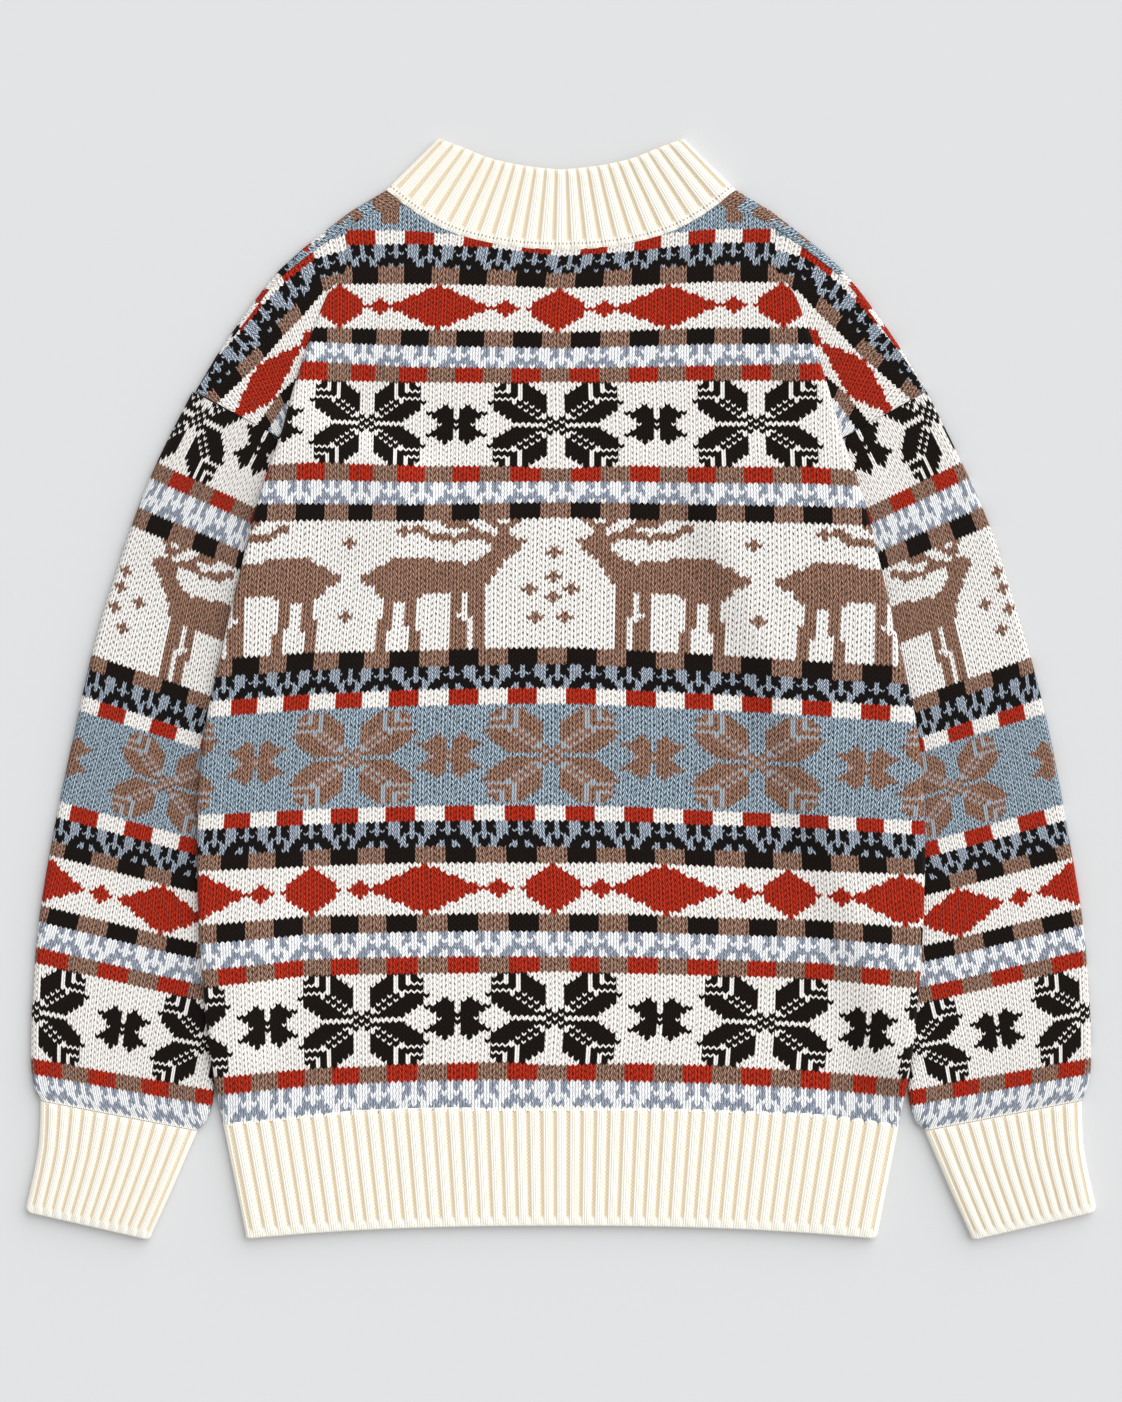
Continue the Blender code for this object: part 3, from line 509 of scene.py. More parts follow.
def deer(x, y):
    shape = filled(x, y, DEER_BODY)
    for corners in DEER_LEGS:
        shape |= filled(x, y, corners)
    for points in DEER_ANTLERS:
        shape |= stroke(x, y, points, ANTLER_HALF)
    return shape


def deer_pairs(stitch, row, middle, turn, on_sleeve):
    """Deer that face each other across a middle; turn stitches off it they are mirrored again."""
    away = np.abs(stitch + 0.5 - middle)
    shape = deer(np.where(away > turn, 2 * turn - away, away), row + 0.5)
    if on_sleeve:
        shape &= (away < SLEEVE_DEER_END) | (row > SLEEVE_DEER_BELLY)
    return shape


MOTIFS = {
    "star": star, "flower": flower,
    "long": lambda i, j: rhomb(i, j, 9.6), "short": lambda i, j: rhomb(i, j, 5.8),
    "spark": lambda i, j: np.abs(i) + np.abs(j) <= 2,
    "plus": lambda i, j: np.abs(i) + np.abs(j) <= 1,
    "patch": lambda i, j: (np.abs(i) <= 1) & (np.abs(j) <= 4),
}


# ---- Charts of the bands ----
# Kinds of band: "checks" of two yarns, "wave" columns of two yarns, and "figures" on a ground.
Band = namedtuple("Band", "bottom top kind dark light figures")


def level_with(row, **stitches):
    """List figures whose middles lie on one row, as shape, stitch and row."""
    return tuple((shape, stitch, row) for shape, places in stitches.items() for stitch in places)


def scattered(shape, *places):
    return tuple((shape, stitch, row) for stitch, row in places)


def stack_bands(bottom, *bands):
    """Lay bands one on the other; each says its top, kind and yarns, and its figures if any."""
    stacked = []
    for top, kind, dark, light, *figures in bands:
        stacked.append(Band(bottom, top, kind, dark, light, sum(figures, ())))
        bottom = top
    return tuple(stacked)


STARS = level_with(21, star=(-70, -35, -3, 33, 69), flower=(-52, -19, 15, 51))
BLUE_STARS = level_with(88, star=(-74, -37, -3, 32, 68), flower=(-55, -20, 14, 51))
UPPER_STARS = level_with(173, star=(-72, -37, -3, 32, 67), flower=(-55, -20, 14))
RHOMBS = level_with(54, long=(-65, -24, 16, 57), short=(-44, -3, 37), spark=(-53, -35, -12, 5, 29, 46))
UPPER_RHOMBS = level_with(205, long=(-62, -24, 16, 57), short=(-43, -3, 37),
                          spark=(-51, -35, -12, 5, 28, 46))
# Deer have no row of their own: their third number says how many stitches out they are mirrored.
DEER_AND_SPECKS = (("deer", -3, 36),) + scattered(
    "plus", (-3, 139), (-3, 133), (-7, 130), (0, 130), (-3, 128), (-6, 123), (-1, 123), (-40, 142),
    (-40, 124), (31, 142), (32, 124), (-29, 145), (43, 145), (47, 144))
PATCHES = scattered("patch", (-33, 232), (28, 232), (-40, 234), (35, 234), (-33, 242), (28, 242))
BODY_BANDS = stack_bands(
    -9, (0, "plain", CREAM, CREAM), (6, "wave", MARL_BLUE, MARL_WHITE), (10, "checks", RED, TAN),
    (33, "figures", BLACK, WHITE, STARS), (37, "checks", RED, TAN),
    (44, "wave", MARL_BLUE, MARL_WHITE), (48, "checks", BLACK, TAN),
    (61, "figures", RED, WHITE, RHOMBS), (65, "checks", BLACK, TAN),
    (72, "wave", WAVE_BLACK, WAVE_BLUE), (76, "checks", RED, WHITE),
    (101, "figures", FAWN, BLUE, BLUE_STARS), (105, "checks", RED, WHITE),
    (112, "wave", WAVE_BLACK, WAVE_BLUE), (116, "checks", BLACK, TAN),
    (148, "figures", FAWN, SNOW, DEER_AND_SPECKS), (152, "checks", BLACK, TAN),
    (158, "wave", MARL_BLUE, MARL_WHITE), (162, "checks", RED, TAN),
    (185, "figures", BLACK, WHITE, UPPER_STARS), (189, "checks", RED, TAN),
    (195, "wave", MARL_BLUE, MARL_WHITE), (199, "checks", BLACK, TAN),
    (212, "figures", RED, WHITE, UPPER_RHOMBS), (216, "checks", BLACK, TAN),
    (222, "wave", WAVE_BLACK, WAVE_BLUE), (226, "checks", RED, WHITE),
    (300, "figures", FAWN, BLUE, PATCHES))
# The sleeves have the same bands, with figures of their own in those that start at these rows.
SLEEVE_FIGURES = {
    10: level_with(21, star=(-1, 36, -38), flower=(18, -20)),
    48: level_with(54, long=(-4, 22, -30), spark=(9, -17, 35)),
    76: level_with(88, star=(18, -18), flower=(-5, 37)),
    116: (("near_deer", -0.2, 36),) + scattered("plus", (-2, 137), (-2, 133), (3, 131), (1, 124),
                                                (-2, 128)),
    162: level_with(173, star=(-1, 36, -38), flower=(17, -20)),
}
SLEEVE_BANDS = tuple(band._replace(figures=SLEEVE_FIGURES.get(band.bottom, band.figures))
                     for band in BODY_BANDS)


def figure_chart(figures, stitch, row):
    """Give 0 on the ground, 1 in a figure and 2 in a thin line through one."""
    chart = np.zeros(len(stitch), int)
    for shape, middle, level in figures:
        if shape in MOTIFS:
            drawn = MOTIFS[shape](stitch - middle, row - level)
        else:
            drawn = deer_pairs(stitch, row, middle, level, shape == "near_deer")
        chart = np.maximum(chart, drawn)
    return chart


# Half of a wave in half stitches, from the middle of its short column to that of its long one,
# and from its top row down.
WAVE = ("#...####...#", "#..######..#", "###.####...#", "#...####.###", "......####.#", ".##....###..",
        ".###....###.")
WAVE_MIDDLE = 4.5


def wave_mask(way, up):
    """Columns that swell, split and curl over seven rows; up counts the rows from the lowest."""
    chart = np.array([[int(mark == "#") for mark in row] for row in WAVE])[::-1]
    away = np.abs((way - WAVE_MIDDLE + 6) % 12 - 6)
    return chart[np.clip(up, 0, 6), np.clip(np.floor(away * 2).astype(int), 0, 11)]


def yarn_of(bands, block, way, row):
    """Give the yarn of each half stitch; block is how many stitches a check is wide."""
    yarn = np.full(len(way), BLUE)
    stitch = np.floor(way).astype(int)
    for band in bands:
        here = (row >= band.bottom) & (row < band.top)
        s, r = stitch[here], row[here]
        if band.kind == "wave":
            chart = 1 - wave_mask(way[here], 7 - (band.top - r))
        elif band.kind == "checks":
            chart = 1 - np.floor_divide(s, block) % 2
        elif band.kind == "figures":
            chart = figure_chart(band.figures, s, r)
        else:
            chart = np.ones(len(s), int)
        yarn[here] = np.array((band.light, band.dark, LINES.get(band.light, band.light)))[chart]
    return yarn


def swelling(bands, block, way, row, yarn):
    """Say where the neighbours of a thin line swell over it: above, below and beside."""
    bulk = np.array([GAPS[code].bulk for code in range(len(YARNS))])
    beside = np.where(way % 1 < 0.5, -0.5, 0.5)
    over, marks = yarn.copy(), []
    for step, rise in ((0, 1), (0, -1), (beside, 0)):
        other = yarn_of(bands, block, way + step, row + rise)
        wins = (bulk[yarn] == 0) & (bulk[other] > 0) & ((yarn != WAVE_BLUE) | (other == WAVE_BLACK))
        over = np.where(wins & (bulk[other] > bulk[over]), other, over)
        marks.append(wins)
    return over, np.stack(marks, 1).astype(float)


# ---- Cloth ----
def to_linear(rgb):
    rgb = np.asarray(rgb, float)
    return np.where(rgb <= 0.04045, rgb / 12.92, ((rgb + 0.055) / 1.055) ** 2.4)


def yarn_tables(yarns):
    """List the colour and dots of every yarn, and the colour and strength of its gaps: painted shade
    mixed with the strands behind.
    """
    face = np.array([(*to_linear(getattr(yarns, name)), GAPS[code].dots)
                     for code, name in enumerate(YARNS)])
    gap = np.array([(*to_linear(np.array(GAPS[code].colour) / 255), GAPS[code].specks)
                    for code in range(len(YARNS))])
    return face, gap


def grid_mesh(name, left, right, bottom, top, per_stitch=2):
    """Make a flat grid from stitch left to stitch right and row bottom to row top."""
    matrix = Matrix.Translation(((left + right) / 2, (bottom + top) / 2, 0)) @ Matrix.Diagonal(
        (right - left, top - bottom, 1, 1))
    mesh = bmesh.new()
    bmesh.ops.create_grid(mesh, x_segments=(right - left) * per_stitch, y_segments=top - bottom,
                          size=0.5, matrix=matrix)
    data = bpy.data.meshes.new(name)
    mesh.to_mesh(data)
    mesh.free()
    return data


def read_places(data):
    flat = np.empty(len(data.vertices) * 3, np.float64)
    data.vertices.foreach_get("co", flat)
    return flat.reshape(-1, 3)


def write_places(data, places):
    data.vertices.foreach_set("co", np.ascontiguousarray(places, np.float64).ravel())
    data.update()


def corners_of(data):
    corners = np.empty(len(data.loops), np.int32)
    data.loops.foreach_get("vertex_index", corners)
    return corners


def write_stitches(data, stitches):
    """Keep each corner's stitch and row as the piece's own UV map."""
    layer = data.uv_layers.new(name="stitches")
    layer.data.foreach_set("uv", stitches[corners_of(data)].astype(np.float32).ravel())


def write_colours(data, name, colours):
    """Keep one colour for each face, at its four corners."""
    layer = data.color_attributes.new(name, "FLOAT_COLOR", "CORNER")
    layer.data.foreach_set("color", np.repeat(colours, 4, axis=0).astype(np.float32).ravel())


def drop_faces(data, doomed, turn_over):
    """Cut away faces, and turn the others over where the cloth's right side is below."""
    mesh = bmesh.new()
    mesh.from_mesh(data)
    mesh.faces.ensure_lookup_table()
    gone = [mesh.faces[index] for index in np.flatnonzero(doomed)]
    if gone:
        bmesh.ops.delete(mesh, geom=gone, context="FACES")
    if turn_over:
        bmesh.ops.reverse_faces(mesh, faces=mesh.faces[:])
    mesh.to_mesh(data)
    mesh.free()


def shoulder_trim(places, yarn):
    """Change the yarns of the strip of the front that shows past the shoulder's fold."""
    foot, _, inwards = from_shoulder(np.stack((np.abs(places[:, 0]), places[:, 1]), 1))
    past = (inwards < 0) & (places[:, 1] > ARMHOLE_Y + 0.02)
    for side, runs in TRIM.items():
        run = np.searchsorted([start for start, _ in runs], foot[:, 0], side="right") - 1
        here = past & (places[:, 0] * side > 0)
        yarn = np.where(here, np.array([code for _, code in runs])[run], yarn)
    beyond = past & (inwards < -TRIM_BLUE_PAST)
    beyond &= (foot[:, 0] > TRIM_BLUE_FROM) & (foot[:, 0] < TRIM_BLUE_TO)
    return np.where(beyond, BLUE, yarn)


def knit(name, extent, bands, block, lay, outline, rise, tables, turn_over=False, trim=None):
    """Knit one piece of cloth in its yarns, cut it to its outline and lay it in its place."""
    data = grid_mesh(name, *extent)
    grid = read_places(data)
    stitch, row = grid[:, 0], grid[:, 1]
    half = np.abs(stitch - np.floor(stitch + 0.25) - 0.5) < 0.2
    places = np.stack(lay(stitch, row - CHEVRON * half), 1)
    near, _, inside = nearest_on(outline, places)
    corners = corners_of(data).reshape(-1, 4)
    doomed = ~inside[corners].any(axis=1)
    places[~inside] = near[~inside]
    write_stitches(data, grid[:, :2])
    middle = grid[corners].mean(axis=1)
    way, level = middle[:, 0], np.floor(middle[:, 1]).astype(int)
    yarn = yarn_of(bands, block, way, level)
    if trim:
        yarn = trim(places[corners].mean(axis=1), yarn)
    over, marks = swelling(bands, block, way, level, yarn)
    mottled = np.isin(yarn, MARL)
    over[mottled] = sum(MARL) - yarn[mottled]
    write_colours(data, "yarn", tables[0][yarn])
    # The gaps' colour: painted shade between the stitches, mixed with the strands behind.
    write_colours(data, "gap", tables[1][yarn])
    write_colours(data, "over", tables[0][over])
    write_colours(data, "edges", np.concatenate((marks, mottled[:, None]), 1))
    write_places(data, np.stack(rise(places[:, 0], places[:, 1]), 1))
    drop_faces(data, doomed, turn_over)
    return data


def add_piece(name, meshes, material, replaced):
    """Join meshes into one piece that rides on the frame."""
    pieces = []
    for data in meshes:
        piece = bpy.data.objects.new(name, data)
        bpy.context.scene.collection.objects.link(piece)
        pieces.append(piece)
    if len(pieces) > 1:
        with bpy.context.temp_override(active_object=pieces[0], selected_editable_objects=pieces,
                                       selected_objects=pieces, object=pieces[0]):
            bpy.ops.object.join()
    piece = pieces[0]
    piece.name = piece.data.name = name
    piece.data.materials.clear()
    piece.data.materials.append(material)
    piece.data.shade_smooth()
    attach(piece, "root")
    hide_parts(replaced)
    return piece


# ---- Where the body's cloth lies ----
def body_place(stitch, row):
    """Give the plan of a stitch of the body, in metres."""
    each = np.array([line(WALES, xs, stitch) for xs in WALE_X])
    x = between_rows(WALE_ROWS, each, row)
    heights = np.array([np.interp(x, ROW_X, ys) for _, ys in ROW_Y])
    y = between_rows([key for key, _ in ROW_Y], heights, row, carry_on=True)
    return x / 1000, y / 1000


def wing_place(stitch, row):
    """Give the plan of a stitch of the shoulder on the -X side, in metres."""
    each = np.array([[line(WING_WALES[::-1], places[::-1, axis], stitch) for places in WING_PLACES]
                     for axis in (0, 1)])
    x, y = (between_rows(WING_ROWS, each[axis], row, carry_on=True) for axis in (0, 1))
    return x / 1000, y / 1000


def right_wing_place(stitch, row):
    """Mirror the shoulder to the +X side, where its checks lie a little further out."""
    stitch = MIRROR_STITCH - stitch
    x, _ = wing_place(stitch, row)
    further = ease((np.abs(x) - 0.155) / 0.08) * ease((row - 187) / 13) * (1 - ease((row - 214) / 9))
    x, y = wing_place(stitch, row + CHECKS_FURTHER * further)
    return -x, y


def side_outline():
    """Give the body's +X outline, folds pressed flat, from the middle of the hem to the armhole."""
    hem = [(x, y - HEM_LAP) for x, y in (hem_top(share) for share in np.linspace(0, 0.995, 16))]
    side_y = np.linspace(-0.3040, ARMHOLE_Y, 40)
    return hem + [(x + FOLD_ARC - FOLD_REACH, y) for x, y in zip(body_edge(side_y), side_y)]


def back_outline():
    crease_y = np.linspace(ARMHOLE_Y + 0.0005, CREASE_TOP, 16)
    crease = list(zip(body_edge(crease_y), crease_y))
    seam = seam_points()
    joint = [(JOINT_X, JOINT_Y), (JOINT_X, float(np.interp(-JOINT_X, -seam[:, 0], seam[:, 1])))]
    inner = [tuple(point) for point in seam if point[0] < JOINT_X - 0.0005]
    neck = [(x, y + NECK_LAP) for x, y in (neck_seam(share, 0.0) for share in np.linspace(0.87, 0, 24))]
    return both_halves(side_outline() + crease + joint + inner + neck)


def wing_outline(side):
    """Give the outline of one shoulder, with what runs on under the lip of the crease."""
    crease_y = np.linspace(ARMHOLE_Y, CREASE_TOP, 14)
    under = list(zip(body_edge(crease_y) - LIP_UNDER, crease_y))
    top = [tuple(point) for point in unfold(seam_points(), True) if point[0] > JOINT_INNER_X]
    armhole, inner = (float(body_edge(ARMHOLE_Y)), ARMHOLE_Y), (JOINT_INNER_X, JOINT_Y)
    return np.array([armhole] + top + [inner] + under[::-1]) * (side, 1)


def front_outline():
    seam = unfold(seam_points(), False)
    top_neck = np.array([neck_seam(share, 0.0) for share in np.linspace(0.89, 0.995, 5)])
    under = [neck_seam(share, FRONT_NECK_DROP) for share in np.linspace(0.985, 0, 24)]
    turned = [tuple(point) for point in np.concatenate((seam, unfold(top_neck, False)))]
    return both_halves(side_outline() + turned + under)


def crumple(x, y, depth):
    """Give the soft unevenness of cloth that lies flat."""
    waves = 0.45 * np.sin(x * 23 + 1.3 * np.sin(y * 17)) * np.sin(y * 19 + 0.8)
    waves += 0.30 * np.sin(x * 41 - y * 29 + 0.5) + 0.25 * np.sin(y * 53 + x * 11 + 2.1)
    return depth * waves


def fold_sides(x, y, is_back, depth):
    """Lift the body over the sleeves, and turn it under or over at its sides."""
    side, reach = np.sign(x), np.abs(x)
    edge = body_edge(y)
    start = edge - FOLD_REACH
    turned = (y <= ARMHOLE_Y) & (reach > start)
    lift = body_lift(np.where(turned, start, reach), y)
    height = lift
    if is_back:
        height = STACK + lift + crumple(x, y, depth) * ease((start - reach) / 0.03)
    angle = np.clip((reach - start) / FOLD_ARC, 0, 1) * math.pi / 2
    rounded = STACK / 2 * (1 + np.cos(angle) * (1 if is_back else -1)) + lift
    height = np.where(turned, rounded, height)
    reach = np.where(turned, start + FOLD_REACH * np.sin(angle), reach)
    return side * reach, height, lift, edge


def rise_back(depth):
    def rise(x, y):
        x, height, lift, edge = fold_sides(x, y, True, depth)
        inwards = np.clip((edge - np.abs(x)) / LIP_REACH, 0, 1)
        lip = 1 - np.sqrt(np.maximum(1 - (1 - inwards) ** 2, 0))
        creased = (y > ARMHOLE_Y) & (y < CREASE_TOP + 0.004)
        return x, y, np.where(creased, height - lift * lip, height)
    return rise


def rise_wing(x, y):
    return fold_shoulder(x, y, np.full(len(x), STACK - UNDER_LIP_DROP), True)


def rise_front(depth):
    def rise(x, y):
        x, height, lift, edge = fold_sides(x, y, False, depth)
        past = np.clip((np.abs(x) - (edge - FOLD_REACH)) / FOLD_REACH, 0, 1)
        height = np.where(y > ARMHOLE_Y, lift * (1 - ease(past)), height)
        return fold_shoulder(x, y, height, False)
    return rise


# ---- Where a sleeve's cloth lies ----
def sleeve_line(row):
    """Give where a row meets the sleeve's outer edge, how wide the sleeve is and half its round."""
    outer_y = line(SLEEVE_ROWS[:, 0], SLEEVE_ROWS[:, 1], row)
    width = curve(SLEEVE[:, 0], SLEEVE[:, 3], outer_y)
    return outer_y, width, width - 2 * FOLD_REACH + 2 * FOLD_ARC


def sleeve_way(side):
    wales = SLEEVE_WALES[side]

    def way(stitch, row):
        """Give how far round a stitch lies from the outer fold, and its row."""
        start = np.interp(row, wales[:, 0], wales[:, 1]) / 1000 + FOLD_ARC - FOLD_REACH
        return start + np.interp(row, wales[:, 0], wales[:, 2]) / 1000 * stitch, row
    return way


def sleeve_cut():
    """Give the outline of a sleeve laid out flat: round, and rows up."""
    rows = np.linspace(-0.9, 177, 60)
    half = sleeve_line(rows)[2]
    return np.concatenate((np.stack((half, rows), 1), np.stack((-half, rows), 1)[::-1]))


def rise_sleeve(side, depth):
    def rise(way, row):
        outer_y, width, half = sleeve_line(row)
        round_way = np.minimum(np.abs(way), half)
        outer = np.minimum(round_way / FOLD_ARC, 1) * math.pi / 2
        inner = np.minimum((half - round_way) / FOLD_ARC, 1) * math.pi / 2
        distance = np.where(round_way < half / 2,
                            np.where(round_way < FOLD_ARC, FOLD_REACH * (1 - np.cos(outer)),
                                     round_way - FOLD_ARC + FOLD_REACH),
                            np.where(half - round_way < FOLD_ARC,
                                     width - FOLD_REACH * (1 - np.cos(inner)),
                                     width - (half - round_way) + FOLD_ARC - FOLD_REACH))
        bulge = np.sin(outer) * np.sin(inner)
        x, y = across(SLEEVE, np.maximum(outer_y, SLEEVE_END), distance)
        x = x + np.interp(outer_y, SWELL_Y, SLEEVE_SWELL[side]) * (1 - ease((distance - 0.01) / 0.05))
        y = y + np.minimum(outer_y - SLEEVE_END, 0)
        level = ease((row - 12) / 20) * (1 - ease((row - 125) / 25))
        higher = LEFT_SLEEVE_RISE if side < 0 else 0.0
        y = y + level * (higher - ROW_TILT * np.minimum(distance, 0.09))
        hidden = ease((distance - HIDDEN_TOP_START) / HIDDEN_TOP_BLEND)
        y = y - (0.0001 + HIDDEN_TOP_SHIFT * hidden) * ease((row - 170) / 7)
        over = way > 0
        swell = crumple(x + 0.3 * side, y, depth) * ease((0.075 - distance) / 0.04) * bulge
        height = STACK / 2 + np.where(over, 1, -1) * STACK / 2 * bulge + np.where(over, swell, 0)
        return side * x, y, height
    return rise


# ---- Ribbed bands ----
def rib_height(phase, crest, groove):
    """Give the height over the plain cloth; phase counts ribs, with a groove at each whole one."""
    swell = np.abs(np.sin(phase * math.pi)) ** 0.55
    return mix(-groove, crest, swell)


# What runs round a band: the outer fold's upper half, the top, the far fold, the underside and the
# outer fold's lower half. What runs along it: out from the seam, round the free edge and back in.
FOLD, TOP, FAR, UNDER, NEAR = range(5)
OUT, EDGE, IN = range(3)
FOLD_FACES, UNDER_FACES, RIB_FACES, DEPTH_FACES, EDGE_FACES = 6, 40, 8, 44, 6
RIB_ROWS = 28               # rows of stitches in a ribbed band
RIB_START, RIB_END = 0.03, 0.045    # shares of its depth in which the ribs rise and fade
SEAM_SINK, SEAM_SHARE = 0.0004, 0.05
EDGE_SWELL = 0.0014         # how far the free edge rounds out
TURNED_IN = 0.004           # how far in the cloth turned over at the free edge is seen
WELD = 0.000002


def ribbed_tube(name, ribs, width_at, place, sizes, length, first_row=0, corner=0.0035):
    """Make a flattened tube with ribs on top, from its seam to a rounded free edge.

    width_at gives its width along the way, place the plan of a distance in from its edge.
    """
    ways = np.array([(FOLD, 1 - step / FOLD_FACES) for step in range(FOLD_FACES)]
                    + [(TOP, step / (ribs * RIB_FACES)) for step in range(ribs * RIB_FACES)]
                    + [(FAR, step / FOLD_FACES) for step in range(2 * FOLD_FACES)]
                    + [(UNDER, step / UNDER_FACES) for step in range(UNDER_FACES)]
                    + [(NEAR, step / FOLD_FACES) for step in range(FOLD_FACES + 1)])
    stations = np.array([(OUT, step / DEPTH_FACES) for step in range(DEPTH_FACES + 1)]
                        + [(EDGE, step / EDGE_FACES) for step in range(1, EDGE_FACES + 1)] + [(IN, 1.0)])
    data = grid_mesh(name, 0, len(ways) - 1, 0, len(stations) - 1, per_stitch=1)
    grid = np.rint(read_places(data)).astype(int)
    kind, share = ways[grid[:, 0]].T
    station, station_share = stations[grid[:, 1]].T
    along = np.where(station == OUT, station_share, 1.0)
    width = width_at(along)
    flat = width - 2 * FOLD_REACH
    # turn: 1 at the outer edge, 2 on top, then back to 1 and 0 on the far side.
    turn = np.select([kind == TOP, kind == UNDER, kind == NEAR], [2.0, 0.0, share], 2 - share)
    reach, height = fold_height(turn)
    distance = np.select([kind == TOP, kind == FAR, kind == UNDER],
                         [FOLD_REACH + flat * share, width - reach, width - FOLD_REACH - flat * share],
                         reach)
    phase = (distance - FOLD_REACH) / flat * ribs
    fade = ease(along / RIB_START) * ease((1 - along) / RIB_END)
    rise = rib_height(phase, sizes.rib_crest, sizes.rib_groove)
    on_top = (kind == TOP) | ((kind == FAR) & (share == 0))
    sink = SEAM_SINK * (1 - ease(along / SEAM_SHARE))
    height = height + np.where(on_top, rise * fade - sink, 0)
    # The cloth turned in at the free edge lies against the slit between the two layers.
    inner_height = STACK / 2 + np.sign(height - STACK / 2) * LAYER_GAP / 2
    from_fold = WALL * (1 - np.abs(height - STACK / 2) / (STACK / 2))
    inner_reach = np.where((kind == TOP) | (kind == UNDER), 0, from_fold)
    inwards = np.where(distance < width / 2, inner_reach, -inner_reach)
    angle = np.where(station == EDGE, station_share * math.pi, 0)
    on_edge = [station == OUT, station == EDGE]
    share_in = np.select(on_edge, [0.0, (1 - np.cos(angle)) / 2], 1.0)
    over = np.select(on_edge, [0.0, np.sin(angle) * EDGE_SWELL], -TURNED_IN)
    height = mix(height, inner_height, share_in)
    distance = distance + inwards * share_in
    from_side = np.clip(np.minimum(distance, width - distance), 0, corner)
    rounded = corner - np.sqrt(np.maximum(corner ** 2 - (corner - from_side) ** 2, 0))
    x, y = place(distance, along * (1 - rounded / length) + over / length, height)
    write_stitches(data, np.stack((phase, along * RIB_ROWS + first_row), 1))
    write_places(data, np.stack((x, y, height), 1))
    mesh = bmesh.new()
    mesh.from_mesh(data)
    bmesh.ops.remove_doubles(mesh, verts=mesh.verts[:], dist=WELD)
    bmesh.ops.recalc_face_normals(mesh, faces=mesh.faces[:])
    mesh.to_mesh(data)
    mesh.free()
    return data


def hem_place(distance, along, height):
    half = mix(HEM_TOP_HALF, HEM_BOTTOM_HALF, along)
    share = 1 - distance / half
    top_y = HEM_TOP_MIDDLE - HEM_TOP_DROOP * np.abs(share) ** DROOP_POWER
    bottom_y = HEM_BOTTOM_MIDDLE - HEM_BOTTOM_DROOP * np.abs(share) ** HEM_BOTTOM_POWER
    return share * half, mix(top_y, bottom_y, along)


def cuff_place(side):
    def place(distance, along, height):
        outer_y, outer_x, tilt, width = (mix(*ends, along) for ends in CUFF.T)
        tilt = np.radians(tilt)
        flare = np.interp(along, CUFF_ALONG, CUFF_FLARE) * (1 - distance / width)
        x = outer_x - distance * np.cos(tilt) + flare
        return side * x, outer_y - distance * np.sin(tilt) + CUFF_BOW * along ** 4
    return place


def collar_place(distance, along, height):
    share = 1 - distance / NECK_HALF_LENGTH
    drop = np.where(height < STACK / 2, FRONT_NECK_DROP, 0.0)
    seam_x, seam_y = neck_seam(share, drop)
    half = np.abs(share)
    top_x = np.sign(share) * curve(NECK[:, 0], NECK[:, 3], half)
    top_y = curve(NECK[:, 0], NECK[:, 4], half) - drop * np.cos(share * math.pi / 2) ** 2
    return mix(seam_x, top_x, along), mix(seam_y, top_y, along)


# ---- Materials ----
class Reading:
    """What a shader socket gives, so that it can take part in Python sums."""

    def __init__(self, paint, socket):
        self.paint, self.socket = paint, socket

    def __add__(self, other):
        return self.paint.sum("ADD", self, other)

    __radd__ = __add__

    def __sub__(self, other):
        return self.paint.sum("SUBTRACT", self, other)

    def __rsub__(self, other):
        return self.paint.sum("SUBTRACT", other, self)

    def __mul__(self, other):
        return self.paint.sum("MULTIPLY", self, other)

    __rmul__ = __mul__

    def __truediv__(self, other):
        return self.paint.sum("DIVIDE", self, other)

    def __pow__(self, other):
        return self.paint.sum("POWER", self, other)

    def __abs__(self):
        return self.paint.sum("ABSOLUTE", self)


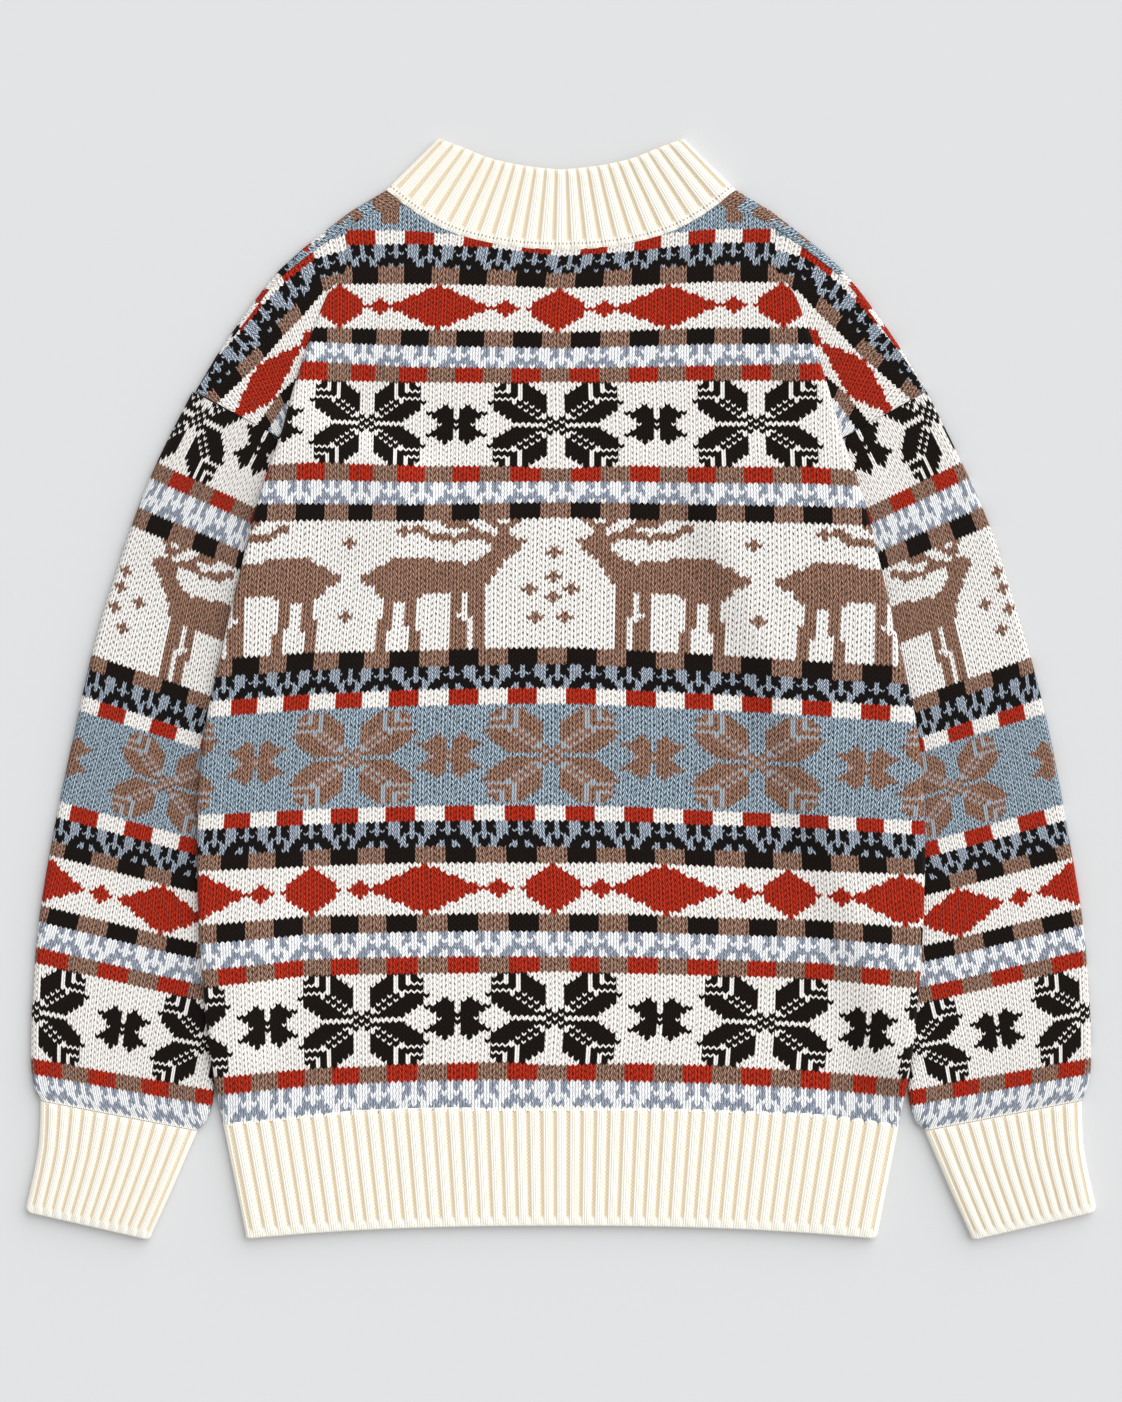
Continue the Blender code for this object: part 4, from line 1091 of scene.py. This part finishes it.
class Paint:
    """A material that is being put together node by node."""

    def __init__(self, name):
        self.material = bpy.data.materials.new(name)
        self.material.use_nodes = True
        self.tree = self.material.node_tree
        self.shader = self.tree.nodes["Principled BSDF"]

    def node(self, kind, settings=None, **inputs):
        """Add a node; inputs name its sockets, or give their places as s0, s1 and so on."""
        node = self.tree.nodes.new(kind)
        for name, value in (settings or {}).items():
            setattr(node, name, value)
        for name, value in inputs.items():
            socket = node.inputs[int(name[1:]) if name[1:].isdigit() else name]
            if isinstance(value, Reading):
                self.tree.links.new(value.socket, socket)
            else:
                socket.default_value = value
        return node

    def sum(self, operation, *values):
        named = {f"s{place}": value for place, value in enumerate(values)}
        return Reading(self, self.node("ShaderNodeMath", {"operation": operation}, **named).outputs[0])

    def between(self, value, low, high):
        """Run softly from 0 at low to 1 at high."""
        node = self.node("ShaderNodeMapRange", {"interpolation_type": "SMOOTHSTEP"},
                         s0=value, s1=low, s2=high)
        return Reading(self, node.outputs[0])

    def blend(self, share, first, second):
        node = self.node("ShaderNodeMix", {"data_type": "RGBA"}, s0=share, s6=first, s7=second)
        return Reading(self, node.outputs[2])

    def scaled(self, colour, factor):
        node = self.node("ShaderNodeVectorMath", {"operation": "SCALE"}, s0=colour, Scale=factor)
        return Reading(self, node.outputs[0])

    def stitches(self):
        uv = self.node("ShaderNodeUVMap", {"uv_map": "stitches"})
        uv = Reading(self, uv.outputs[0])
        parts = self.node("ShaderNodeSeparateXYZ", Vector=uv).outputs
        return uv, Reading(self, parts[0]), Reading(self, parts[1])

    def attribute(self, name):
        node = self.node("ShaderNodeAttribute", {"attribute_name": name})
        return Reading(self, node.outputs["Color"]), Reading(self, node.outputs["Alpha"])

    def noise(self, vector, scale, detail):
        node = self.node("ShaderNodeTexNoise", Vector=vector, Scale=scale, Detail=detail)
        return Reading(self, node.outputs[0])

    def stretch(self, vector, scale):
        node = self.node("ShaderNodeMapping", Vector=vector, Scale=scale)
        return Reading(self, node.outputs[0])

    def place(self):
        return Reading(self, self.node("ShaderNodeTexCoord").outputs["Object"])

    def finish(self, colour, height, depth, roughness, sheen):
        inputs = self.shader.inputs
        self.tree.links.new(colour.socket, inputs["Base Color"])
        inputs["Roughness"].default_value = roughness
        inputs["Specular IOR Level"].default_value = 0.08
        inputs["Sheen Weight"].default_value = sheen
        inputs["Sheen Roughness"].default_value = 0.5
        if height is not None:
            bump = self.node("ShaderNodeBump", Height=height, Distance=depth, Strength=1.0)
            self.tree.links.new(bump.outputs[0], inputs["Normal"])
        return self.material


def rgba(rgb):
    return (*to_linear(rgb), 1.0)


def knitted_cloth(name, sizes):
    """Plain knitting in many yarns, with painted shade in the gaps between stitches mixed with the
    strands behind them, and painted highlights along the legs of the stitches.
    """
    paint = Paint(name)
    uv, stitch, row = paint.stitches()
    yarn, dots = paint.attribute("yarn")
    # The gaps' colour holds painted shade between the stitches, with the strands behind.
    gap, specks = paint.attribute("gap")
    over, _ = paint.attribute("over")
    marks, mottled = paint.attribute("edges")
    edges = paint.node("ShaderNodeSeparateColor", s0=marks).outputs
    above, below, beside = (Reading(paint, edges[place]) for place in range(3))
    fuzz = paint.noise(paint.stretch(uv, (5.0, 4.0, 1.0)), 1.0, 2.0)
    fibres = paint.noise(paint.stretch(uv, (9.0, 2.5, 1.0)), 1.0, 3.0)
    patches = paint.noise(paint.place(), 90.0, 3.0)
    loose = paint.between(paint.noise(paint.stretch(uv, (0.9, 0.7, 1.0)), 1.0, 2.0), 0.35, 0.60)

    def from_gap(columns, rows, wide, tall):
        """Give how far off the nearest gap is, on columns that are staggered by half their rows."""
        column = stitch * columns + (fuzz - 0.5) * 0.30
        level = row * rows + paint.sum("FLOOR", column) * 0.5 + (fuzz - 0.5) * 0.25
        x = (paint.sum("FRACT", column) - 0.5) / wide
        y = (paint.sum("FRACT", level) - 0.5) / tall
        return (x * x + y * y) ** 0.5

    weave = paint.sum("SINE", row * (0.83 * 2 * math.pi)) * 0.10 + (fuzz - 0.5) * 0.3
    leg = paint.sum("SINE", paint.sum("FRACT", stitch * 2 + weave) * math.pi)
    ragged = paint.sum("FRACT", row) + (fuzz - 0.5) * 0.25
    from_side = 0.5 - abs(paint.sum("FRACT", stitch) - 0.5) + (fuzz - 0.5) * 0.12
    covered = paint.sum("MAXIMUM", above * paint.between(ragged, 0.66, 0.82),
                        below * (1 - paint.between(ragged, 0.18, 0.34)))
    covered = paint.sum("MAXIMUM", covered, beside * (1 - paint.between(from_side, 0.08, 0.22)))
    flecks = paint.noise(paint.stretch(uv, (2.6, 1.1, 1.0)), 1.0, 2.0)
    covered = paint.sum("MAXIMUM", covered, mottled * paint.between(flecks, 0.55, 0.70) * 0.6)
    shown = paint.blend(covered, yarn, over)
    fine, wide = from_gap(2.0, 0.83, 0.28, 0.34), from_gap(1.4, 0.667, 0.25, 0.28)
    # Painted shade in the furrow between the two legs of a stitch.
    furrow_shade = 1 - paint.between(leg, 0.12, 0.62)
    # Specks in the gaps' colour: painted shade between the stitches, mixed with the strands behind.
    speck = (1 - paint.between(fine, 0.45, 1.25)) * (loose * 0.3 + 0.6)
    speck = paint.sum("MAXIMUM", speck, furrow_shade * (fibres + 0.30)) * specks
    # Wider dots in the gaps' colour: floats of other yarns behind, and painted shade on the darker
    # yarns.
    dot = (1 - paint.between(wide, 0.50, 1.10)) * dots * (loose * 0.35 + 0.65)
    mask = paint.sum("MAXIMUM", speck, dot) * (1 - covered)
    # Painted highlight between the dots, and painted shade next to them.
    painted_light_between_dots = (paint.between(wide, 0.8, 1.6) - 0.65) * dots * specks
    # Painted highlight along the middle of each leg, and painted shade at its sides.
    painted_strand_light = (leg - 0.55) * (specks * 0.75 + 0.07) + painted_light_between_dots * 0.45
    # The yarn's brightness: the painted light above, with random tone from fibres and patches.
    shade = painted_strand_light + (fibres - 0.5) * (specks * 0.9 + 0.2) + (patches - 0.5) * 0.16 + 1.0
    colour = paint.blend(mask, paint.scaled(shown, shade), gap)
    height = (leg ** 0.7) * 0.8 + fibres * 0.25 - speck * 0.5 - dot * 0.6
    return paint.finish(colour, height, sizes.stitch_depth, 0.92, 0.04)


# How much of each colour keeps in the streaks and painted shade on a rib, and in the painted shade
# between the rungs of a ladder.
STREAK_SHADE_TINT, LADDER_SHADE_TINT = (0.965, 0.945, 0.90), (0.88, 0.82, 0.72)
# The collar's rows count from 100, and the holes of its seam lie just above, painted dark with the shade
# inside them.
COLLAR_FIRST_ROW, HOLE_ROW, HOLE_SHADE_COLOUR = 100, 102.1, (0.42, 0.30, 0.20)


def ribbed_cloth(name, sizes, yarns):
    """Cream ribs of two stitches, painted darker between their legs and on one side, with a narrow
    ladder of painted shade in each groove.
    """
    paint = Paint(name)
    uv, rib, row = paint.stitches()
    across_rib = paint.sum("FRACT", rib)
    off_groove = 0.5 - abs(across_rib - 0.5)
    free_end = paint.between(row, 25.8, 26.8) * (1 - paint.between(row, 30.0, 40.0))
    collar_seam = paint.between(row, 90.0, 95.0) * (1 - paint.between(row, 102.4, 104.0))
    seam_end = 1 - paint.between(row, 0.0, 0.6) + collar_seam
    runs = (1 - free_end) * (1 - paint.sum("MINIMUM", seam_end, 1.0))
    fibres = paint.noise(paint.stretch(uv, (30.0, 2.0, 1.0)), 1.0, 3.0)
    frayed = off_groove + (fibres - 0.5) * 0.05
    groove = (1 - paint.between(frayed, 0.09, 0.21)) * runs
    leg = abs(paint.sum("SINE", (across_rib - 0.14) * (4 * math.pi / 0.72)))
    lobe = paint.sum("SINE", paint.sum("FRACT", row + off_groove * 2.2) * math.pi)
    rung = paint.sum("FRACT", row + paint.sum("FLOOR", rib * 9.0) * 0.5)
    ladder = paint.sum("SINE", rung * math.pi)
    patches = paint.noise(paint.place(), 60.0, 3.0)
    # Painted shade between the legs of a rib and on one side of it, with random streaks of fibre.
    streaks_and_rib_shade = (1 - leg) * 0.45 + (fibres - 0.4) * 0.6 + (0.6 - across_rib) * 0.35
    crest = paint.blend(streaks_and_rib_shade, rgba(yarns.cream), rgba(np.array(yarns.cream) * STREAK_SHADE_TINT))
    # The groove: the cream darkened by painted shade, and darker still between the rungs of its ladder.
    deep = paint.blend(1 - ladder, rgba(yarns.groove), rgba(np.array(yarns.groove) * LADDER_SHADE_TINT))
    colour = paint.blend(groove, crest, deep)
    hole_x = abs(paint.sum("FRACT", rib * 4.0) - 0.5) * 4.0
    off_hole = (hole_x * hole_x + ((row - HOLE_ROW) * 1.6) ** 2.0) ** 0.5
    # The holes of the collar's seam are painted dark, as the shade inside them.
    hole_shade = 1 - paint.between(off_hole, 0.35, 0.95)
    colour = paint.blend(hole_shade * 0.85, colour, rgba(HOLE_SHADE_COLOUR))
    colour = paint.scaled(colour, (patches - 0.5) * 0.06 + 1.0)
    height = (leg ** 0.6) * (0.7 + lobe * 0.3) * (1 - groove) + ladder * groove * 0.4 + fibres * 0.2
    return paint.finish(colour, height, sizes.stitch_depth * 0.7, 0.9, 0.05)


def floor_finish(colour):
    paint = Paint("plain_pale_floor")
    speck = paint.noise(paint.place(), 14.0, 2.0)
    mottled = paint.blend((speck - 0.5) * 0.02 + 0.01, rgba(colour), rgba(np.array(colour) * 0.97))
    return paint.finish(mottled, None, 0.0, 0.85, 0.0)


# ---- Settings ----
def colour_property(name, text, rgb):
    return bpy.props.FloatVectorProperty(name=name, description=text, subtype="COLOR_GAMMA", size=3,
                                         min=0.0, max=1.0, default=tuple(value / 255 for value in rgb))


def length_property(name, text, metres):
    return bpy.props.FloatProperty(name=name, description=text, unit="LENGTH", default=metres, min=0.0)


class PulloverYarns(bpy.types.PropertyGroup):
    cream: colour_property("Cream", "Yarn of the ribbed bands", (251, 247, 238))
    # The grooves' colour is the cream darkened by painted shade.
    groove: colour_property("Groove", "Ladder between two ribs", (239, 226, 202))
    white: colour_property("White", "Ground of the star and diamond bands", (240, 236, 231))
    black: colour_property("Black", "Stars and checks", (12, 7, 5))
    red: colour_property("Red", "Diamonds and checks", (178, 46, 24))
    tan: colour_property("Tan", "Light brown checks", (156, 122, 104))
    fawn: colour_property("Fawn", "Deer and the stars on blue", (156, 120, 101))
    blue: colour_property("Blue", "Ground of the blue band", (162, 180, 193))
    marl_white: colour_property("Marl white", "Light columns on steel blue", (240, 240, 240))
    marl_blue: colour_property("Marl blue", "Steel blue behind the light columns", (144, 152, 166))
    wave_blue: colour_property("Wave blue", "Columns on black", (168, 180, 194))
    wave_black: colour_property("Wave black", "Black behind the columns", (14, 10, 10))
    snow: colour_property("Snow", "Ground of the deer band", (240, 238, 234))


class PulloverSizes(bpy.types.PropertyGroup):
    stitch_depth: length_property("Stitch depth", "How deep the surface of a stitch is", 0.0007)
    crease_depth: length_property("Crease depth", "How uneven the cloth lies", 0.0008)
    rib_crest: length_property("Rib crest", "How far a rib stands above the plain cloth", 0.0009)
    rib_groove: length_property("Rib groove", "How far a groove sinks below it", 0.0009)


class PulloverStage(bpy.types.PropertyGroup):
    floor: colour_property("Floor", "Colour of the floor", (208, 209, 210))
    sky: bpy.props.FloatProperty(name="Sky", description="Light from all round", default=0.68, min=0.0)
    window: bpy.props.FloatProperty(name="Window", description="Strength of the large soft light",
                                    default=3.52, min=0.0)
    softness: bpy.props.FloatProperty(name="Softness", description="How wide the large light is",
                                      subtype="ANGLE", default=1.4, min=0.0)
    camera_height: length_property("Camera height", "Height of the camera over the floor", 2.5)


# ---- Operators ----
def shared_material(name, make, *values):
    return bpy.data.materials.get(name) or make(name, *values)


class PULLOVER_OT_panels(bpy.types.Operator):
    """Knit the back and the front of the body"""

    bl_idname = "pullover.panels"
    bl_label = "Knit Body Panels"

    def execute(self, context):
        sizes, tables = context.scene.pullover_sizes, yarn_tables(context.scene.pullover_yarns)
        depth = sizes.crease_depth
        cloth = shared_material("knitted_wool_cloth", knitted_cloth, sizes)
        back = [knit(name, extent, BODY_BANDS, BODY_CHECK, lay, outline, rise, tables)
                for name, extent, lay, outline, rise in (
                    ("back", (-68, 66, -2, 236), body_place, back_outline(), rise_back(depth)),
                    ("wing", (-78, -34, 184, 246), wing_place, wing_outline(-1), rise_wing),
                    ("wing", (29, 73, 184, 246), right_wing_place, wing_outline(1), rise_wing))]
        back = add_piece("back_panel_knit", back, cloth, "back_panel")
        front = knit("front", (-72, 70, -2, 254), BODY_BANDS, BODY_CHECK, body_place, front_outline(),
                     rise_front(depth), tables, turn_over=True, trim=shoulder_trim)
        front = add_piece("front_panel_knit", [front], cloth, "front_panel")
        return {"FINISHED"}


class PULLOVER_OT_sleeves(bpy.types.Operator):
    """Knit both sleeves"""

    bl_idname = "pullover.sleeves"
    bl_label = "Knit Sleeves"

    def execute(self, context):
        sizes, tables = context.scene.pullover_sizes, yarn_tables(context.scene.pullover_yarns)
        cloth = shared_material("knitted_wool_cloth", knitted_cloth, sizes)
        for side, name in ((-1, "left_sleeve"), (1, "right_sleeve")):
            data = knit(name, (-62, 62, -1, 178), SLEEVE_BANDS, SLEEVE_CHECK, sleeve_way(side),
                        sleeve_cut(), rise_sleeve(side, sizes.crease_depth), tables,
                        turn_over=side > 0)
            piece = add_piece(f"{name}_knit", [data], cloth, name)
        return {"FINISHED"}


class PULLOVER_OT_ribs(bpy.types.Operator):
    """Knit the ribbed hem, cuffs and collar"""

    bl_idname = "pullover.ribs"
    bl_label = "Knit Ribbed Bands"

    def execute(self, context):
        sizes, yarns = context.scene.pullover_sizes, context.scene.pullover_yarns
        cloth = shared_material("ribbed_cream_knit", ribbed_cloth, sizes, yarns)
        hem = ribbed_tube("hem", HEM_RIBS, lambda along: 2 * mix(HEM_TOP_HALF, HEM_BOTTOM_HALF, along),
                          hem_place, sizes, 0.082)
        hem = add_piece("hem_knit", [hem], cloth, "hem_rib")
        for side, name in ((-1, "left_cuff"), (1, "right_cuff")):
            cuff = ribbed_tube(name, CUFF_RIBS, lambda along: mix(CUFF[0, 3], CUFF[1, 3], along),
                               cuff_place(side), sizes, 0.078, corner=0.005)
            cuff = add_piece(f"{name}_knit", [cuff], cloth, name)
        collar = ribbed_tube("collar", COLLAR_RIBS, lambda along: 2 * NECK_HALF_LENGTH + 0 * along,
                             collar_place, sizes, 0.055, COLLAR_FIRST_ROW, corner=0.0005)
        collar = add_piece("collar_knit", [collar], cloth, "collar")
        return {"FINISHED"}


FLOOR_HALF = 4                      # in metres
LIGHT_WAY = (-1.0, -1.0, -0.75)     # which way the window's light falls
SENSOR = 36.0                       # in millimetres
# The camera stands over this y, and its picture is so long at this height over the floor.
CAMERA_Y, VIEW_LENGTH, VIEW_LEVEL = -0.00735, 0.9814, 0.008


class PULLOVER_OT_stage(bpy.types.Operator):
    """Lay the floor and set the lights and the camera"""

    bl_idname = "pullover.stage"
    bl_label = "Set Stage"

    def execute(self, context):
        stage = context.scene.pullover_stage
        half = FLOOR_HALF
        floor = bpy.data.objects.new("floor", grid_mesh("floor", -half, half, -half, half, per_stitch=1))
        floor.data.materials.append(floor_finish(stage.floor))
        context.scene.collection.objects.link(floor)
        world = bpy.data.worlds.new("studio")
        world.use_nodes = True
        background = world.node_tree.nodes["Background"].inputs
        background["Color"].default_value = (1.0, 1.0, 1.0, 1.0)
        background["Strength"].default_value = stage.sky
        context.scene.world = world
        sun = bpy.data.lights.new("window", "SUN")
        sun.energy, sun.angle = stage.window, stage.softness
        lamp = bpy.data.objects.new("window", sun)
        lamp.rotation_euler = Vector(LIGHT_WAY).to_track_quat("-Z", "Y").to_euler()
        context.scene.collection.objects.link(lamp)
        camera = bpy.data.cameras.new("camera")
        camera.sensor_width = SENSOR
        camera.lens = SENSOR * (stage.camera_height - VIEW_LEVEL) / VIEW_LENGTH
        camera.clip_start, camera.clip_end = 0.1, 20.0
        view = bpy.data.objects.new("camera", camera)
        view.location = (0.0, CAMERA_Y, stage.camera_height)
        context.scene.collection.objects.link(view)
        context.scene.camera = view
        context.scene.view_settings.view_transform = "Standard"
        return {"FINISHED"}


class PULLOVER_PT_panel(bpy.types.Panel):
    """Lists the steps that make the pullover"""

    bl_label = "Pullover"
    bl_idname = "PULLOVER_PT_panel"
    bl_space_type = "VIEW_3D"
    bl_region_type = "UI"
    bl_category = "Pullover"

    def draw(self, context):
        for step in STEPS:
            self.layout.operator(step.bl_idname)
        for group in (context.scene.pullover_sizes, context.scene.pullover_yarns,
                      context.scene.pullover_stage):
            box = self.layout.box()
            for name in group.__annotations__:
                box.prop(group, name)


GROUPS = (("pullover_yarns", PulloverYarns), ("pullover_sizes", PulloverSizes),
          ("pullover_stage", PulloverStage))
STEPS = (PULLOVER_OT_panels, PULLOVER_OT_sleeves, PULLOVER_OT_ribs, PULLOVER_OT_stage)


def register():
    for name, group in GROUPS:
        bpy.utils.register_class(group)
        setattr(bpy.types.Scene, name, bpy.props.PointerProperty(type=group))
    for step in (*STEPS, PULLOVER_PT_panel):
        bpy.utils.register_class(step)


def unregister():
    for step in (*STEPS, PULLOVER_PT_panel):
        bpy.utils.unregister_class(step)
    for name, group in GROUPS:
        delattr(bpy.types.Scene, name)
        bpy.utils.unregister_class(group)


def main():
    register()
    bpy.ops.pullover.panels()
    bpy.ops.pullover.sleeves()
    bpy.ops.pullover.ribs()
    bpy.ops.pullover.stage()


if __name__ == "__main__":
    main()
